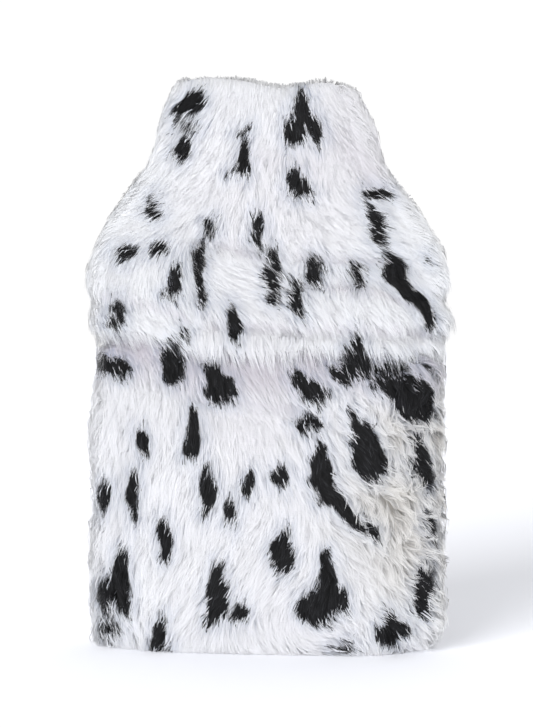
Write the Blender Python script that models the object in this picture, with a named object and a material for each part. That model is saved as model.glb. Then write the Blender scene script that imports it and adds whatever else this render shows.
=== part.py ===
"""Hot water bottle cover in long-pile fur fabric, standing upright on its base.

Three panels are sewn together round their outer edge: a back panel from the base to the
collar's rim, a front flap that carries the near side of the collar, and a front pocket whose
top edge is tucked under the flap. The cover keeps the round shape of a filled bottle and is
hollow, with an open mouth in the collar. Each panel is one solid: its inner face is the cloth
backing, and its outer face is the surface of the pile with its locks and folds.

Metres, +Z up. The origin is on the floor under the middle of the cover, and the flap and the
pocket face -Y.
"""

import math
import random
from collections import namedtuple
from functools import lru_cache

import bmesh
import bpy
from mathutils import Vector, noise

Section = namedtuple("Section", "height half_width half_depth")
Edge = namedtuple("Edge", "x height")
Fold = namedtuple("Fold", "x_left z_left x_right z_right depth width")
Lock = namedtuple("Lock", "along tip lean width length stand")

# Outer surface of the pile, from the floor to the rim of the collar.
PILE_SECTIONS = (
    Section(0.0000, 0.0960, 0.0270),
    Section(0.0040, 0.1010, 0.0305),
    Section(0.0150, 0.1040, 0.0335),
    Section(0.0600, 0.1040, 0.0355),
    Section(0.1300, 0.1040, 0.0360),
    Section(0.1800, 0.1045, 0.0355),
    Section(0.2150, 0.1060, 0.0355),
    Section(0.2380, 0.1065, 0.0340),
    Section(0.2520, 0.1015, 0.0325),
    Section(0.2750, 0.0880, 0.0300),
    Section(0.2970, 0.0730, 0.0290),
    Section(0.3120, 0.0665, 0.0285),
    Section(0.3350, 0.0615, 0.0275),
    Section(0.3500, 0.0550, 0.0250),
    Section(0.3570, 0.0475, 0.0210),
)

# Cloth backing, which is the wall of the space for the bottle.
CLOTH_SECTIONS = (
    Section(0.0100, 0.0840, 0.0140),
    Section(0.0160, 0.0890, 0.0180),
    Section(0.0600, 0.0900, 0.0220),
    Section(0.1500, 0.0900, 0.0230),
    Section(0.2300, 0.0910, 0.0195),
    Section(0.2450, 0.0870, 0.0180),
    Section(0.2700, 0.0730, 0.0160),
    Section(0.2970, 0.0570, 0.0145),
    Section(0.3200, 0.0510, 0.0135),
    Section(0.3420, 0.0480, 0.0130),
)

# Height of the pile along the rim of the collar: two soft bumps with a dip between them.
COLLAR_RIM = (
    Edge(-0.070, 0.352),
    Edge(-0.045, 0.360),
    Edge(-0.015, 0.358),
    Edge(0.015, 0.351),
    Edge(0.042, 0.356),
    Edge(0.070, 0.346),
)
RIM_HEIGHT = PILE_SECTIONS[-1].height
RIM_BLEND_FROM = 0.300

# Tips of the pile along the free edge of the flap.
FLAP_HEM = (
    Edge(-0.110, 0.192),
    Edge(-0.070, 0.190),
    Edge(-0.045, 0.184),
    Edge(0.000, 0.180),
    Edge(0.045, 0.184),
    Edge(0.070, 0.181),
    Edge(0.110, 0.184),
)
HEM_CLOTH_UP = 0.010
HEM_LOCK_PITCH = 0.0190
HEM_LOCK_DROP = 0.0070

# How far the flap stands proud above its hem: whole in front, a share of it at the sides.
FLAP_STAND = 0.0060
FLAP_STAND_REACH = 0.075
STAND_WHOLE_TO = 0.070
STAND_LEAST_FROM = 0.105
STAND_AT_SIDES = 0.25

# The pocket's top edge, and how thin its pile is pressed under the flap.
POCKET_TOP = 0.2280
PRESSED_IN_FRONT = 0.0080
PRESSED_IN_FRONT_TO = 0.0550
PRESSED_AT_SEAM = 0.0020
PRESSED_AT_SEAM_FROM = 0.0880
PRESSED_BELOW_HEM = 0.0080
PRESSED_ABOVE_HEM = 0.0040
LAYER_GAP = 0.0022
FLAP_LEAVES_POCKET = 0.2400
FLAP_ON_BOTTLE = 0.2700

# Soft troughs across the cloth, each a straight line from its left end to its right end. A
# swell above each one is a share of its depth; its place and spread are in fold widths.
FLAP_FOLDS = (
    Fold(-0.036, 0.203, 0.020, 0.198, 0.0055, 0.0055),
    Fold(0.020, 0.198, 0.106, 0.197, 0.0055, 0.0055),
    Fold(0.022, 0.226, 0.060, 0.229, 0.0050, 0.0060),
    Fold(0.060, 0.229, 0.102, 0.220, 0.0055, 0.0065),
    Fold(-0.040, 0.252, 0.000, 0.249, 0.0045, 0.0055),
    Fold(0.024, 0.243, 0.090, 0.241, 0.0050, 0.0060),
    Fold(-0.102, 0.219, -0.050, 0.205, 0.0055, 0.0065),
    Fold(-0.040, 0.252, -0.038, 0.212, 0.0045, 0.0050),
)
POCKET_FOLDS = (
    Fold(-0.085, 0.160, -0.040, 0.149, 0.0055, 0.0070),
    Fold(-0.040, 0.149, 0.016, 0.150, 0.0050, 0.0070),
    Fold(0.020, 0.148, 0.062, 0.108, 0.0045, 0.0080),
)
BACK_FOLDS = (
    Fold(-0.098, 0.232, -0.010, 0.224, 0.0055, 0.0070),
    Fold(-0.010, 0.224, 0.100, 0.236, 0.0050, 0.0065),
    Fold(-0.080, 0.146, 0.030, 0.137, 0.0045, 0.0080),
    Fold(0.020, 0.080, 0.090, 0.096, 0.0040, 0.0075),
)

FOLD_SWELL = 0.4
SWELL_ABOVE = 1.9
SWELL_SPREAD = 1.5
LOWEST_RELIEF = -0.0030

# Locks of pile: rows of overlapping tufts whose tips point down. Edge, tip and crest are
# shares of a lock's half width and of its length.
LOCK_WIDTH = 0.0190
LOCK_ROW = 0.0210
LOCK_LENGTH = 0.0290
LOCK_STAND = 0.0052
LOCK_JITTER = 0.42
LOCK_LEAN = 0.55
LOCK_EDGE = 1.2
LOCK_TIP = -0.2
LOCK_CREST = 0.1
UNEVEN_STAND = 0.0024
UNEVEN_SCALE = 0.038
FLAT_NEAR_FLOOR = 0.012
BACK_FULLNESS = 0.0030

# How the grids are divided. Inner grids are coarser by these whole steps.
COLUMNS = 44
BACK_ROWS = 57
FLAP_ROWS = 33
POCKET_ROWS = 36
FOOT_ROWS = 3
COLUMN_STEP = 2
ROW_STEP = 3

SQUARENESS = 2.7
RING_SAMPLES = 240
SEAM_GAP = 0.0003
WELD = 0.00002

FRONT = -1
BACK = 1

FUR_WHITE = (0.86, 0.86, 0.89, 1.0)
FUR_ROUGHNESS = 0.9


def smooth(low, high, value):
    """0 below low, 1 above high, and a smooth step between them."""
    share = min(1.0, max(0.0, (value - low) / (high - low)))
    return share * share * (3.0 - 2.0 * share)


def along_points(keys, values, at):
    """The value at a place on a smooth curve through the points (keys, values)."""
    if at <= keys[0]:
        return values[0]
    if at >= keys[-1]:
        return values[-1]
    i = next(k for k in range(len(keys) - 1) if at <= keys[k + 1])
    step = keys[i + 1] - keys[i]
    share = (at - keys[i]) / step
    slopes = []
    for k in (i, i + 1):
        before, after = max(k - 1, 0), min(k + 1, len(keys) - 1)
        slopes.append((values[after] - values[before]) / (keys[after] - keys[before]) * step)
    square, cube = share**2, share**3
    return (
        (2 * cube - 3 * square + 1) * values[i]
        + (cube - 2 * square + share) * slopes[0]
        + (3 * square - 2 * cube) * values[i + 1]
        + (cube - square) * slopes[1]
    )


def section_at(sections, height):
    """The half width and half depth of a table of sections at a height."""
    heights = [s.height for s in sections]
    half_width = along_points(heights, [s.half_width for s in sections], height)
    half_depth = along_points(heights, [s.half_depth for s in sections], height)
    return half_width, half_depth


def edge_at(edges, x):
    """The height of a hem or a rim at a place across the cover."""
    return along_points([e.x for e in edges], [e.height for e in edges], x)


def half_ring(half_width, half_depth, side, count):
    """Points evenly spaced round the front or back half of a section, from left to right.

    Each is (x, y, normal x, normal y, distance along the ring from its middle).
    """
    dense = []
    for k in range(RING_SAMPLES + 1):
        turn = math.pi * (1.0 - k / RING_SAMPLES)
        x = half_width * math.copysign(abs(math.cos(turn)) ** (2 / SQUARENESS), math.cos(turn))
        y = half_depth * abs(math.sin(turn)) ** (2 / SQUARENESS)
        dense.append((x, y))
    lengths = [0.0]
    for (x0, y0), (x1, y1) in zip(dense, dense[1:]):
        lengths.append(lengths[-1] + math.hypot(x1 - x0, y1 - y0))
    points = []
    k = 0
    for i in range(count + 1):
        goal = lengths[-1] * i / count
        while k < RING_SAMPLES - 1 and lengths[k + 1] < goal:
            k += 1
        (x0, y0), (x1, y1) = dense[k], dense[k + 1]
        run = lengths[k + 1] - lengths[k]
        share = min(1.0, max(0.0, (goal - lengths[k]) / run))
        x, y = x0 + (x1 - x0) * share, y0 + (y1 - y0) * share
        normal_x, normal_y = -(y1 - y0) / run, (x1 - x0) / run
        if i in (0, count):
            normal_x, normal_y = math.copysign(1.0, x), 0.0
        points.append((x, side * y, normal_x, side * normal_y, goal - lengths[-1] / 2))
    return points


@lru_cache(maxsize=None)
def lock_of(panel, row, column):
    """One lock of the pile, the same each time for a panel, row and column."""
    chance = random.Random(f"{panel}/{row}/{column}")
    return Lock(
        along=(column + 0.5 * (row % 2) + chance.uniform(-LOCK_JITTER, LOCK_JITTER)) * LOCK_WIDTH,
        tip=(row + chance.uniform(-LOCK_JITTER, LOCK_JITTER)) * LOCK_ROW,
        lean=chance.uniform(-LOCK_LEAN, LOCK_LEAN),
        width=LOCK_WIDTH * chance.uniform(0.85, 1.35),
        length=LOCK_LENGTH * chance.uniform(0.8, 1.25),
        stand=LOCK_STAND * chance.uniform(0.35, 1.2),
    )


def lock_relief(panel, along, height):
    """How far the pile stands out where locks overlap: the highest lock at that place."""
    stand = 0.0
    row_here = math.floor(height / LOCK_ROW)
    for row in range(row_here - 2, row_here + 2):
        column_here = round(along / LOCK_WIDTH - 0.5 * (row % 2))
        for column in range(column_here - 2, column_here + 3):
            lock = lock_of(panel, row, column)
            sideways = along - lock.along - lock.lean * (height - lock.tip)
            across = 2 * sideways / lock.width
            up = (height - lock.tip) / lock.length
            if abs(across) < LOCK_EDGE and LOCK_TIP < up < 1.0:
                crown = math.cos(across / LOCK_EDGE * math.pi / 2)
                taper = smooth(LOCK_TIP, LOCK_CREST, up) * (1.0 - smooth(LOCK_CREST, 1.0, up))
                stand = max(stand, lock.stand * crown * taper)
    return stand


def fold_relief(folds, x, height):
    """The trough of each fold near a place, with the soft swell of the cloth above it."""
    relief = 0.0
    place = Vector((x, height))
    for fold in folds:
        left, right = Vector((fold.x_left, fold.z_left)), Vector((fold.x_right, fold.z_right))
        run = right - left
        share = min(1.0, max(0.0, (place - left).dot(run) / run.length_squared))
        away = place - (left + run * share)
        trough = math.exp(-((away.length / fold.width) ** 2))
        swell_place = away - Vector((0.0, SWELL_ABOVE * fold.width))
        swell = math.exp(-((swell_place.length / (SWELL_SPREAD * fold.width)) ** 2))
        relief += fold.depth * (FOLD_SWELL * swell - trough)
    return relief


def pile_relief(panel, folds, x, along, height):
    """Everything that raises or sinks the outer surface of a panel's pile at a place."""
    uneven = noise.noise(Vector((along, height, len(panel) * UNEVEN_SCALE)) / UNEVEN_SCALE)
    relief = lock_relief(panel, along, height) + UNEVEN_STAND * uneven
    relief = max(relief + fold_relief(folds, x, height), LOWEST_RELIEF)
    return relief * smooth(0.0, FLAT_NEAR_FLOOR, height)


def pressed_depth(x):
    """Thickness of the pocket under the flap: thin at the side seams, full in front."""
    toward_seam = smooth(PRESSED_IN_FRONT_TO, PRESSED_AT_SEAM_FROM, abs(x))
    return PRESSED_IN_FRONT + (PRESSED_AT_SEAM - PRESSED_IN_FRONT) * toward_seam


def seam_point(x, y, height, side):
    """A point of a panel, kept on its own side of the seam."""
    return Vector((x, side * max(SEAM_GAP / 2, side * y), height))


def cloth_row(height, side, lift=lambda x: 0.0):
    """One row of the cloth backing, lifted outwards by lift(x)."""
    row = []
    ring = half_ring(*section_at(CLOTH_SECTIONS, height), side, COLUMNS // COLUMN_STEP)
    for x, y, normal_x, normal_y, _ in ring:
        out = lift(x)
        row.append(seam_point(x + normal_x * out, y + normal_y * out, height, side))
    return row


def pile_point(panel, folds, ring_point, height, side, extra=0.0):
    """One point of the outer surface of the pile."""
    x, y, normal_x, normal_y, along = ring_point
    out = pile_relief(panel, folds, x, along, height) + extra
    return seam_point(x + normal_x * out, y + normal_y * out, height, side)


def foot_rows(last_row, count, side):
    """Rows that close the base: from a row round the foot to the seam along its middle."""
    rows = []
    for k in range(1, count + 1):
        inward = 1.0 - k / count
        rows.append([seam_point(p.x, p.y * inward, p.z, side) for p in last_row])
    return rows


def heights_down(top, bottom, count):
    """Evenly spaced heights from a top edge down to a bottom edge."""
    return [top + (bottom - top) * k / count for k in range(count + 1)]


def rim_lift(x, height):
    """How much the bumps and the dip of the collar's rim raise a point of the pile."""
    share = smooth(RIM_BLEND_FROM, RIM_HEIGHT, height)
    return (edge_at(COLLAR_RIM, x) - RIM_HEIGHT) * share


def back_panel():
    """The far side of the cover, from the rim of the collar to the seam under the base."""
    outer = []
    for height in heights_down(RIM_HEIGHT, 0.0, BACK_ROWS):
        half_width, half_depth = section_at(PILE_SECTIONS, height)
        ring = half_ring(half_width, half_depth + BACK_FULLNESS, BACK, COLUMNS)
        row = [pile_point("back", BACK_FOLDS, p, height, BACK) for p in ring]
        for point in row:
            point.z += rim_lift(point.x, height)
        outer.append(row)
    outer += foot_rows(outer[-1], FOOT_ROWS, BACK)
    cloth_top, cloth_floor = CLOTH_SECTIONS[-1].height, CLOTH_SECTIONS[0].height
    inner = [
        cloth_row(height, BACK)
        for height in heights_down(cloth_top, cloth_floor, BACK_ROWS // ROW_STEP)
    ]
    inner += foot_rows(inner[-1], FOOT_ROWS // ROW_STEP, BACK)
    return outer, inner


def hem_height(x, along):
    """Height of the pile tips along the flap's hem, with its hanging locks."""
    place = along / HEM_LOCK_PITCH
    number = round(place)
    chance = random.Random(f"hem/{number}")
    drop = HEM_LOCK_DROP * chance.uniform(0.5, 1.2)
    return edge_at(FLAP_HEM, x) - drop * math.cos(2 * math.pi * (place - number)) / 2


def flap_lift(x, height):
    """How far the flap's cloth stands off the bottle: over the pocket, then back to it."""
    over_pocket = 1.0 - smooth(FLAP_LEAVES_POCKET, FLAP_ON_BOTTLE, height)
    return (pressed_depth(x) + LAYER_GAP) * over_pocket


def front_flap():
    """The near side of the collar and shoulders, down to the free hem over the pocket."""
    outer = []
    for k in range(FLAP_ROWS + 1):
        row = []
        level = RIM_HEIGHT + (FLAP_HEM[0].height - RIM_HEIGHT) * k / FLAP_ROWS
        ring = half_ring(*section_at(PILE_SECTIONS, level), FRONT, COLUMNS)
        for i, (x, _, _, _, along) in enumerate(ring):
            bottom = hem_height(x, along)
            height = RIM_HEIGHT + (bottom - RIM_HEIGHT) * k / FLAP_ROWS
            own_ring = half_ring(*section_at(PILE_SECTIONS, height), FRONT, COLUMNS)
            in_front = 1.0 - smooth(STAND_WHOLE_TO, STAND_LEAST_FROM, abs(x))
            near_hem = 1.0 - smooth(bottom, bottom + FLAP_STAND_REACH, height)
            stand = FLAP_STAND * near_hem * (STAND_AT_SIDES + (1.0 - STAND_AT_SIDES) * in_front)
            point = pile_point("flap", FLAP_FOLDS, own_ring[i], height, FRONT, stand)
            point.z += rim_lift(point.x, height)
            row.append(point)
        outer.append(row)
    inner = []
    inner_rows = FLAP_ROWS // ROW_STEP
    cloth_top = CLOTH_SECTIONS[-1].height
    for k in range(inner_rows + 1):
        level = cloth_top + (FLAP_HEM[0].height - cloth_top) * k / inner_rows
        row = []
        for i, reference in enumerate(cloth_row(level, FRONT)):
            bottom = edge_at(FLAP_HEM, reference.x) + HEM_CLOTH_UP
            height = cloth_top + (bottom - cloth_top) * k / inner_rows
            own_row = cloth_row(height, FRONT, lambda x: flap_lift(x, height))
            row.append(own_row[i])
        inner.append(row)
    return outer, inner


def front_pocket():
    """The near side's lower half, from the edge tucked under the flap to the base."""
    outer = []
    for height in heights_down(POCKET_TOP, 0.0, POCKET_ROWS):
        cloth_ring = half_ring(*section_at(CLOTH_SECTIONS, height), FRONT, COLUMNS)
        pile_ring = half_ring(*section_at(PILE_SECTIONS, height), FRONT, COLUMNS)
        row = []
        for cloth, pile in zip(cloth_ring, pile_ring):
            x, y, normal_x, normal_y, _ = cloth
            hem = edge_at(FLAP_HEM, x)
            pressed = smooth(hem - PRESSED_BELOW_HEM, hem + PRESSED_ABOVE_HEM, height)
            thickness = pressed_depth(x)
            under = seam_point(x + normal_x * thickness, y + normal_y * thickness, height, FRONT)
            free = pile_point("pocket", POCKET_FOLDS, pile, height, FRONT)
            row.append(free.lerp(under, pressed))
        outer.append(row)
    outer += foot_rows(outer[-1], FOOT_ROWS, FRONT)
    cloth_floor = CLOTH_SECTIONS[0].height
    inner = [
        cloth_row(height, FRONT)
        for height in heights_down(POCKET_TOP, cloth_floor, POCKET_ROWS // ROW_STEP)
    ]
    inner += foot_rows(inner[-1], FOOT_ROWS // ROW_STEP, FRONT)
    return outer, inner


def grid_faces(mesh, grid):
    """Vertices and quads of one grid. Returns the vertices, row by row."""
    rows = [[mesh.verts.new(point) for point in row] for row in grid]
    for upper, lower in zip(rows, rows[1:]):
        for i in range(len(upper) - 1):
            mesh.faces.new((upper[i], lower[i], lower[i + 1], upper[i + 1]))
    return rows


def join_edges(mesh, fine, coarse):
    """Triangles between one fine and one coarse edge that run the same way."""
    step = (len(fine) - 1) // (len(coarse) - 1)
    for k in range(len(coarse) - 1):
        start, middle, end = k * step, k * step + (step + 1) // 2, (k + 1) * step
        for i in range(start, end):
            apex = coarse[k] if i < middle else coarse[k + 1]
            mesh.faces.new((fine[i], fine[i + 1], apex))
        mesh.faces.new((fine[middle], coarse[k + 1], coarse[k]))


def sewn_panel(name, grids, material):
    """One panel as a closed solid, from its outer and inner grids."""
    outer, inner = grids
    mesh = bmesh.new()
    fine = grid_faces(mesh, outer)
    coarse = grid_faces(mesh, inner)
    join_edges(mesh, fine[0], coarse[0])
    join_edges(mesh, fine[-1], coarse[-1])
    for side in (0, -1):
        join_edges(mesh, [row[side] for row in fine], [row[side] for row in coarse])
    bmesh.ops.remove_doubles(mesh, verts=mesh.verts, dist=WELD)
    bmesh.ops.dissolve_degenerate(mesh, edges=mesh.edges, dist=WELD)
    bmesh.ops.recalc_face_normals(mesh, faces=mesh.faces)
    data = bpy.data.meshes.new(name)
    mesh.to_mesh(data)
    mesh.free()
    data.materials.append(material)
    data.shade_smooth()
    return bpy.data.objects.new(name, data)


def fur_material(name):
    """White long-pile fur fabric."""
    material = bpy.data.materials.new(name)
    material.use_nodes = True
    shader = material.node_tree.nodes["Principled BSDF"]
    shader.inputs["Base Color"].default_value = FUR_WHITE
    shader.inputs["Roughness"].default_value = FUR_ROUGHNESS
    shader.inputs["Metallic"].default_value = 0.0
    return material


def clear_scene():
    """Removes the objects of the startup scene."""
    for item in list(bpy.data.objects):
        bpy.data.objects.remove(item)


def main():
    clear_scene()
    cover = bpy.data.collections.new("hot_water_bottle_cover")
    bpy.context.scene.collection.children.link(cover)
    panels = (
        ("back_panel", back_panel()),
        ("front_flap", front_flap()),
        ("front_pocket", front_pocket()),
    )
    for name, grids in panels:
        cover.objects.link(sewn_panel(name, grids, fur_material(f"{name}_fur")))


main()
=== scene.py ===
"""Hot water bottle cover in spotted long-pile fur fabric: its looks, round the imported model.

Each panel is a sheet of fur fabric: a knitted backing with a dense undercoat, and the long pile
on it, which is blades of fibre laid in locks. Metres, +Z up; the near side faces -Y.
"""

import math
import random
from collections import namedtuple

import bpy
import numpy as np
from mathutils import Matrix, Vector, noise


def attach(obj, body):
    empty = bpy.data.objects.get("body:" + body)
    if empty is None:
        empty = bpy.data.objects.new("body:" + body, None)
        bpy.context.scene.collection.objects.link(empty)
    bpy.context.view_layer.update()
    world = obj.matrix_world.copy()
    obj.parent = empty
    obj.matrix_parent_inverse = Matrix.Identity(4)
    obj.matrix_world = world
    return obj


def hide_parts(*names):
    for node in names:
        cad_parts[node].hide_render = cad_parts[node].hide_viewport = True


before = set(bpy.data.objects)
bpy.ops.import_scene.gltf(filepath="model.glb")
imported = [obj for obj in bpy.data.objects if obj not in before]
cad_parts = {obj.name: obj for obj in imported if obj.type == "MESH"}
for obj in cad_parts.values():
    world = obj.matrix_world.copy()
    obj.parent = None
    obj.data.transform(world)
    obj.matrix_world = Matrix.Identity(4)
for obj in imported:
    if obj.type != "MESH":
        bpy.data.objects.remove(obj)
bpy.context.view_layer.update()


# ---------------------------------------------------------------------------------------------
# Back panel. One piece of fur fabric from the collar's rim to the seam under the base. Its
# backing is knitted and white; the pile is brushed down and flows round both sides.
# ---------------------------------------------------------------------------------------------

Section = namedtuple("Section", "height half_width half_depth")
Edge = namedtuple("Edge", "x height")
Fold = namedtuple("Fold", "x_left z_left x_right z_right depth width")

# Outer surface of the pile, and the cloth backing that lines the space for the bottle.
PILE_SECTIONS = (
    Section(0.0000, 0.0960, 0.0270),
    Section(0.0040, 0.1010, 0.0305),
    Section(0.0150, 0.1040, 0.0335),
    Section(0.0600, 0.1040, 0.0355),
    Section(0.1300, 0.1040, 0.0360),
    Section(0.1800, 0.1045, 0.0355),
    Section(0.2150, 0.1060, 0.0355),
    Section(0.2380, 0.1065, 0.0340),
    Section(0.2520, 0.1015, 0.0325),
    Section(0.2750, 0.0880, 0.0300),
    Section(0.2970, 0.0730, 0.0290),
    Section(0.3120, 0.0665, 0.0285),
    Section(0.3350, 0.0615, 0.0275),
    Section(0.3500, 0.0550, 0.0250),
    Section(0.3570, 0.0475, 0.0210),
)
CLOTH_SECTIONS = (
    Section(0.0100, 0.0840, 0.0140),
    Section(0.0160, 0.0890, 0.0180),
    Section(0.0600, 0.0900, 0.0220),
    Section(0.1500, 0.0900, 0.0230),
    Section(0.2300, 0.0910, 0.0195),
    Section(0.2450, 0.0870, 0.0180),
    Section(0.2700, 0.0730, 0.0160),
    Section(0.2970, 0.0570, 0.0145),
    Section(0.3200, 0.0510, 0.0135),
    Section(0.3420, 0.0480, 0.0130),
)
COLLAR_RIM = (
    Edge(-0.070, 0.352),
    Edge(-0.045, 0.360),
    Edge(-0.015, 0.358),
    Edge(0.015, 0.351),
    Edge(0.042, 0.356),
    Edge(0.070, 0.346),
)
RIM_HEIGHT = PILE_SECTIONS[-1].height
RIM_BLEND_FROM = 0.300
SQUARENESS = 2.7
RING_SAMPLES = 240
RING_STEP = 0.002
SEAM_GAP = 0.0003

# The undercoat lies this far under the tips of the pile, and ends this far inside the rim.
PILE_DEEP = 0.0078
SIDE_FULLNESS = 0.0060
SIDE_TURNS_FROM = 0.55
UNDERCOAT_TOP = 0.3500
UNDERCOAT_FLOOR = 0.0012
BACKING_TOP = 0.3440
COLUMNS = 72
ROW_PITCH = 0.0032
FOOT_ROWS = 4
ROLL_ROWS = 4
ROLL_TURN = math.radians(140.0)
RIM_BULGE = 0.0040
CORNER_RAISED = 0.0110
CORNER_FROM = (0.060, 0.104)
CORNER_TO = 0.035

BACK_FULLNESS = 0.0030
BACK_FOLDS = (
    Fold(-0.098, 0.232, -0.010, 0.224, 0.0055, 0.0070),
    Fold(-0.010, 0.224, 0.100, 0.236, 0.0050, 0.0065),
    Fold(-0.080, 0.146, 0.030, 0.137, 0.0045, 0.0080),
    Fold(0.020, 0.080, 0.090, 0.096, 0.0040, 0.0075),
)
FOLD_SWELL = 0.4
SWELL_ABOVE = 1.9
SWELL_SPREAD = 1.5
UNEVEN_STAND = 0.0024
UNEVEN_SCALE = 0.038
FLAT_NEAR_FLOOR = 0.012

FRONT = -1
BACK = 1


def smooth(low, high, value):
    """0 below low, 1 above high, and a smooth step between them."""
    share = np.clip((value - low) / (high - low), 0.0, 1.0)
    return share * share * (3.0 - 2.0 * share)


def through(points, at):
    """Values at places on smooth curves through rows of (place, value, ...)."""
    rows = np.array(points, float)
    keys, values = rows[:, 0], rows[:, 1:]
    at = np.clip(at, keys[0], keys[-1])
    i = np.clip(np.searchsorted(keys, at) - 1, 0, len(keys) - 2)
    before = np.maximum(np.arange(len(keys)) - 1, 0)
    after = np.minimum(np.arange(len(keys)) + 1, len(keys) - 1)
    slope = (values[after] - values[before]) / (keys[after] - keys[before])[:, None]
    step = (keys[i + 1] - keys[i])[..., None]
    share = (at - keys[i])[..., None] / step
    return (
        (2 * share**3 - 3 * share**2 + 1) * values[i]
        + (share**3 - 2 * share**2 + share) * step * slope[i]
        + (3 * share**2 - 2 * share**3) * values[i + 1]
        + (share**3 - share**2) * step * slope[i + 1]
    )


def rings(sections, fullness=0.0):
    """Rings of a table of sections every RING_STEP, for one half from left to right.

    Each point is (x, y, normal x, normal y, distance along the ring from its middle).
    """
    heights = np.arange(sections[0].height, sections[-1].height + RING_STEP, RING_STEP)
    turn = np.pi * (1.0 - np.arange(RING_SAMPLES + 1) / RING_SAMPLES)
    table = []
    for half_width, half_depth in through(sections, heights):
        x = half_width * np.sign(np.cos(turn)) * np.abs(np.cos(turn)) ** (2 / SQUARENESS)
        y = (half_depth + fullness) * np.abs(np.sin(turn)) ** (2 / SQUARENESS)
        along = np.concatenate(([0.0], np.cumsum(np.hypot(np.diff(x), np.diff(y)))))
        goal = np.linspace(0.0, along[-1], COLUMNS + 1)
        px, py = np.interp(goal, along, x), np.interp(goal, along, y)
        tx, ty = np.gradient(px), np.gradient(py)
        nx, ny = -ty / np.hypot(tx, ty), tx / np.hypot(tx, ty)
        nx[0], ny[0], nx[-1], ny[-1] = -1.0, 0.0, 1.0, 0.0
        table.append(np.stack((px, py, nx, ny, goal - along[-1] / 2), axis=1))
    return heights, np.array(table)


def ring_at(table, height, side):
    """A ring's points where each column has its own height; height is rows by columns."""
    heights, points = table
    place = np.clip((height - heights[0]) / RING_STEP, 0.0, len(heights) - 1.001)
    low = place.astype(int)
    share = (place - low)[..., None]
    column = np.arange(height.shape[1])[None, :]
    found = points[low, column] * (1.0 - share) + points[low + 1, column] * share
    found[..., 1] *= side
    found[..., 3] *= side
    return found


def fold_relief(folds, x, height):
    """The trough of each fold near a place, with the soft swell of the cloth above it."""
    relief = np.zeros_like(x)
    for fold in folds:
        run_x, run_z = fold.x_right - fold.x_left, fold.z_right - fold.z_left
        share = ((x - fold.x_left) * run_x + (height - fold.z_left) * run_z)
        share = np.clip(share / (run_x**2 + run_z**2), 0.0, 1.0)
        away_x = x - fold.x_left - run_x * share
        away_z = height - fold.z_left - run_z * share
        trough = np.exp(-(away_x**2 + away_z**2) / fold.width**2)
        above = away_z - SWELL_ABOVE * fold.width
        swell = np.exp(-(away_x**2 + above**2) / (SWELL_SPREAD * fold.width) ** 2)
        relief += fold.depth * (FOLD_SWELL * swell - trough)
    return relief


def drift(place, scale, layer):
    """Soft noise from -1 to 1 at each place, a row of coordinates."""
    found = [noise.noise(Vector(p) / scale + Vector((0.0, 0.0, layer))) for p in place]
    return np.array(found)


def uneven(along, height, layer):
    """How far the cloth stands out or sinks where it is neither folded nor flat."""
    place = np.stack((along, height, np.zeros_like(along)), axis=-1).reshape(-1, 3)
    return UNEVEN_STAND * drift(place, UNEVEN_SCALE, layer).reshape(along.shape)


def rim_lift(x, height):
    """How much the bumps and the dip of the collar's rim raise a point of the pile."""
    share = smooth(RIM_BLEND_FROM, RIM_HEIGHT, height)
    return (through(COLLAR_RIM, x)[..., 0] - RIM_HEIGHT) * share


def corner_lift(x, height):
    """How much the rounded lower right corner is raised off the floor."""
    return CORNER_RAISED * smooth(*CORNER_FROM, x) * (1.0 - smooth(0.0, CORNER_TO, height))


def outward(points, side):
    """Unit normals of a grid of points whose rows run left to right and top to bottom."""
    across = np.gradient(points, axis=1)
    down = np.gradient(points, axis=0)
    normal = side * np.cross(across, down)
    return normal / np.maximum(np.linalg.norm(normal, axis=2, keepdims=True), 1e-9)


def keep_side(points, side):
    """Points of a panel, kept on its own side of the seam."""
    points[..., 1] = side * np.maximum(SEAM_GAP / 2, side * points[..., 1])
    return points


def undercoat_grid(table, height, side, folds, layer, stand=0.0):
    """The surface of the undercoat, deep under the pile's own surface, less so at the sides."""
    ring = ring_at(table, height, side)
    relief = uneven(ring[..., 4], height, layer) + fold_relief(folds, ring[..., 0], height)
    sideways = smooth(SIDE_TURNS_FROM, 1.0, np.abs(ring[..., 2]))
    out = relief * smooth(0.0, FLAT_NEAR_FLOOR, height) + stand
    out += SIDE_FULLNESS * sideways - PILE_DEEP
    x = ring[..., 0] + ring[..., 2] * out
    y = ring[..., 1] + ring[..., 3] * out
    z = height + rim_lift(ring[..., 0], height) + corner_lift(ring[..., 0], height)
    return keep_side(np.stack((x, y, z), axis=-1), side)


def backing_grid(table, height, side, lift=0.0):
    """The inner face of the backing, lifted outwards."""
    ring = ring_at(table, height, side)
    x = ring[..., 0] + ring[..., 2] * lift
    y = ring[..., 1] + ring[..., 3] * lift
    return keep_side(np.stack((x, y, height), axis=-1), side)


def rolled_rows(edge, inner_edge, bulge):
    """Rows that carry the outer face round a sheet's edge, most of the way to its inner face."""
    turn = np.linspace(0.0, ROLL_TURN, ROLL_ROWS + 1)[1:, None, None]
    middle, reach = (edge + inner_edge) / 2, (edge - inner_edge) / 2
    return middle + reach * np.cos(turn) + np.array((0.0, 0.0, bulge)) * np.sin(turn)


def fitted_rows(grid, rows):
    """A grid of points with another number of rows."""
    places = np.linspace(0, len(grid) - 1, rows)
    low = np.minimum(places.astype(int), len(grid) - 2)
    share = (places - low)[:, None, None]
    return grid[low] * (1.0 - share) + grid[low + 1] * share


def foot_grid(last_row, side):
    """Rows that close the base, from the last row to the seam along its middle."""
    inward = 1.0 - np.arange(1, FOOT_ROWS + 1) / FOOT_ROWS
    rows = np.repeat(last_row[None], FOOT_ROWS, axis=0)
    rows[..., 1] *= inward[:, None]
    return keep_side(rows, side)


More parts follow.
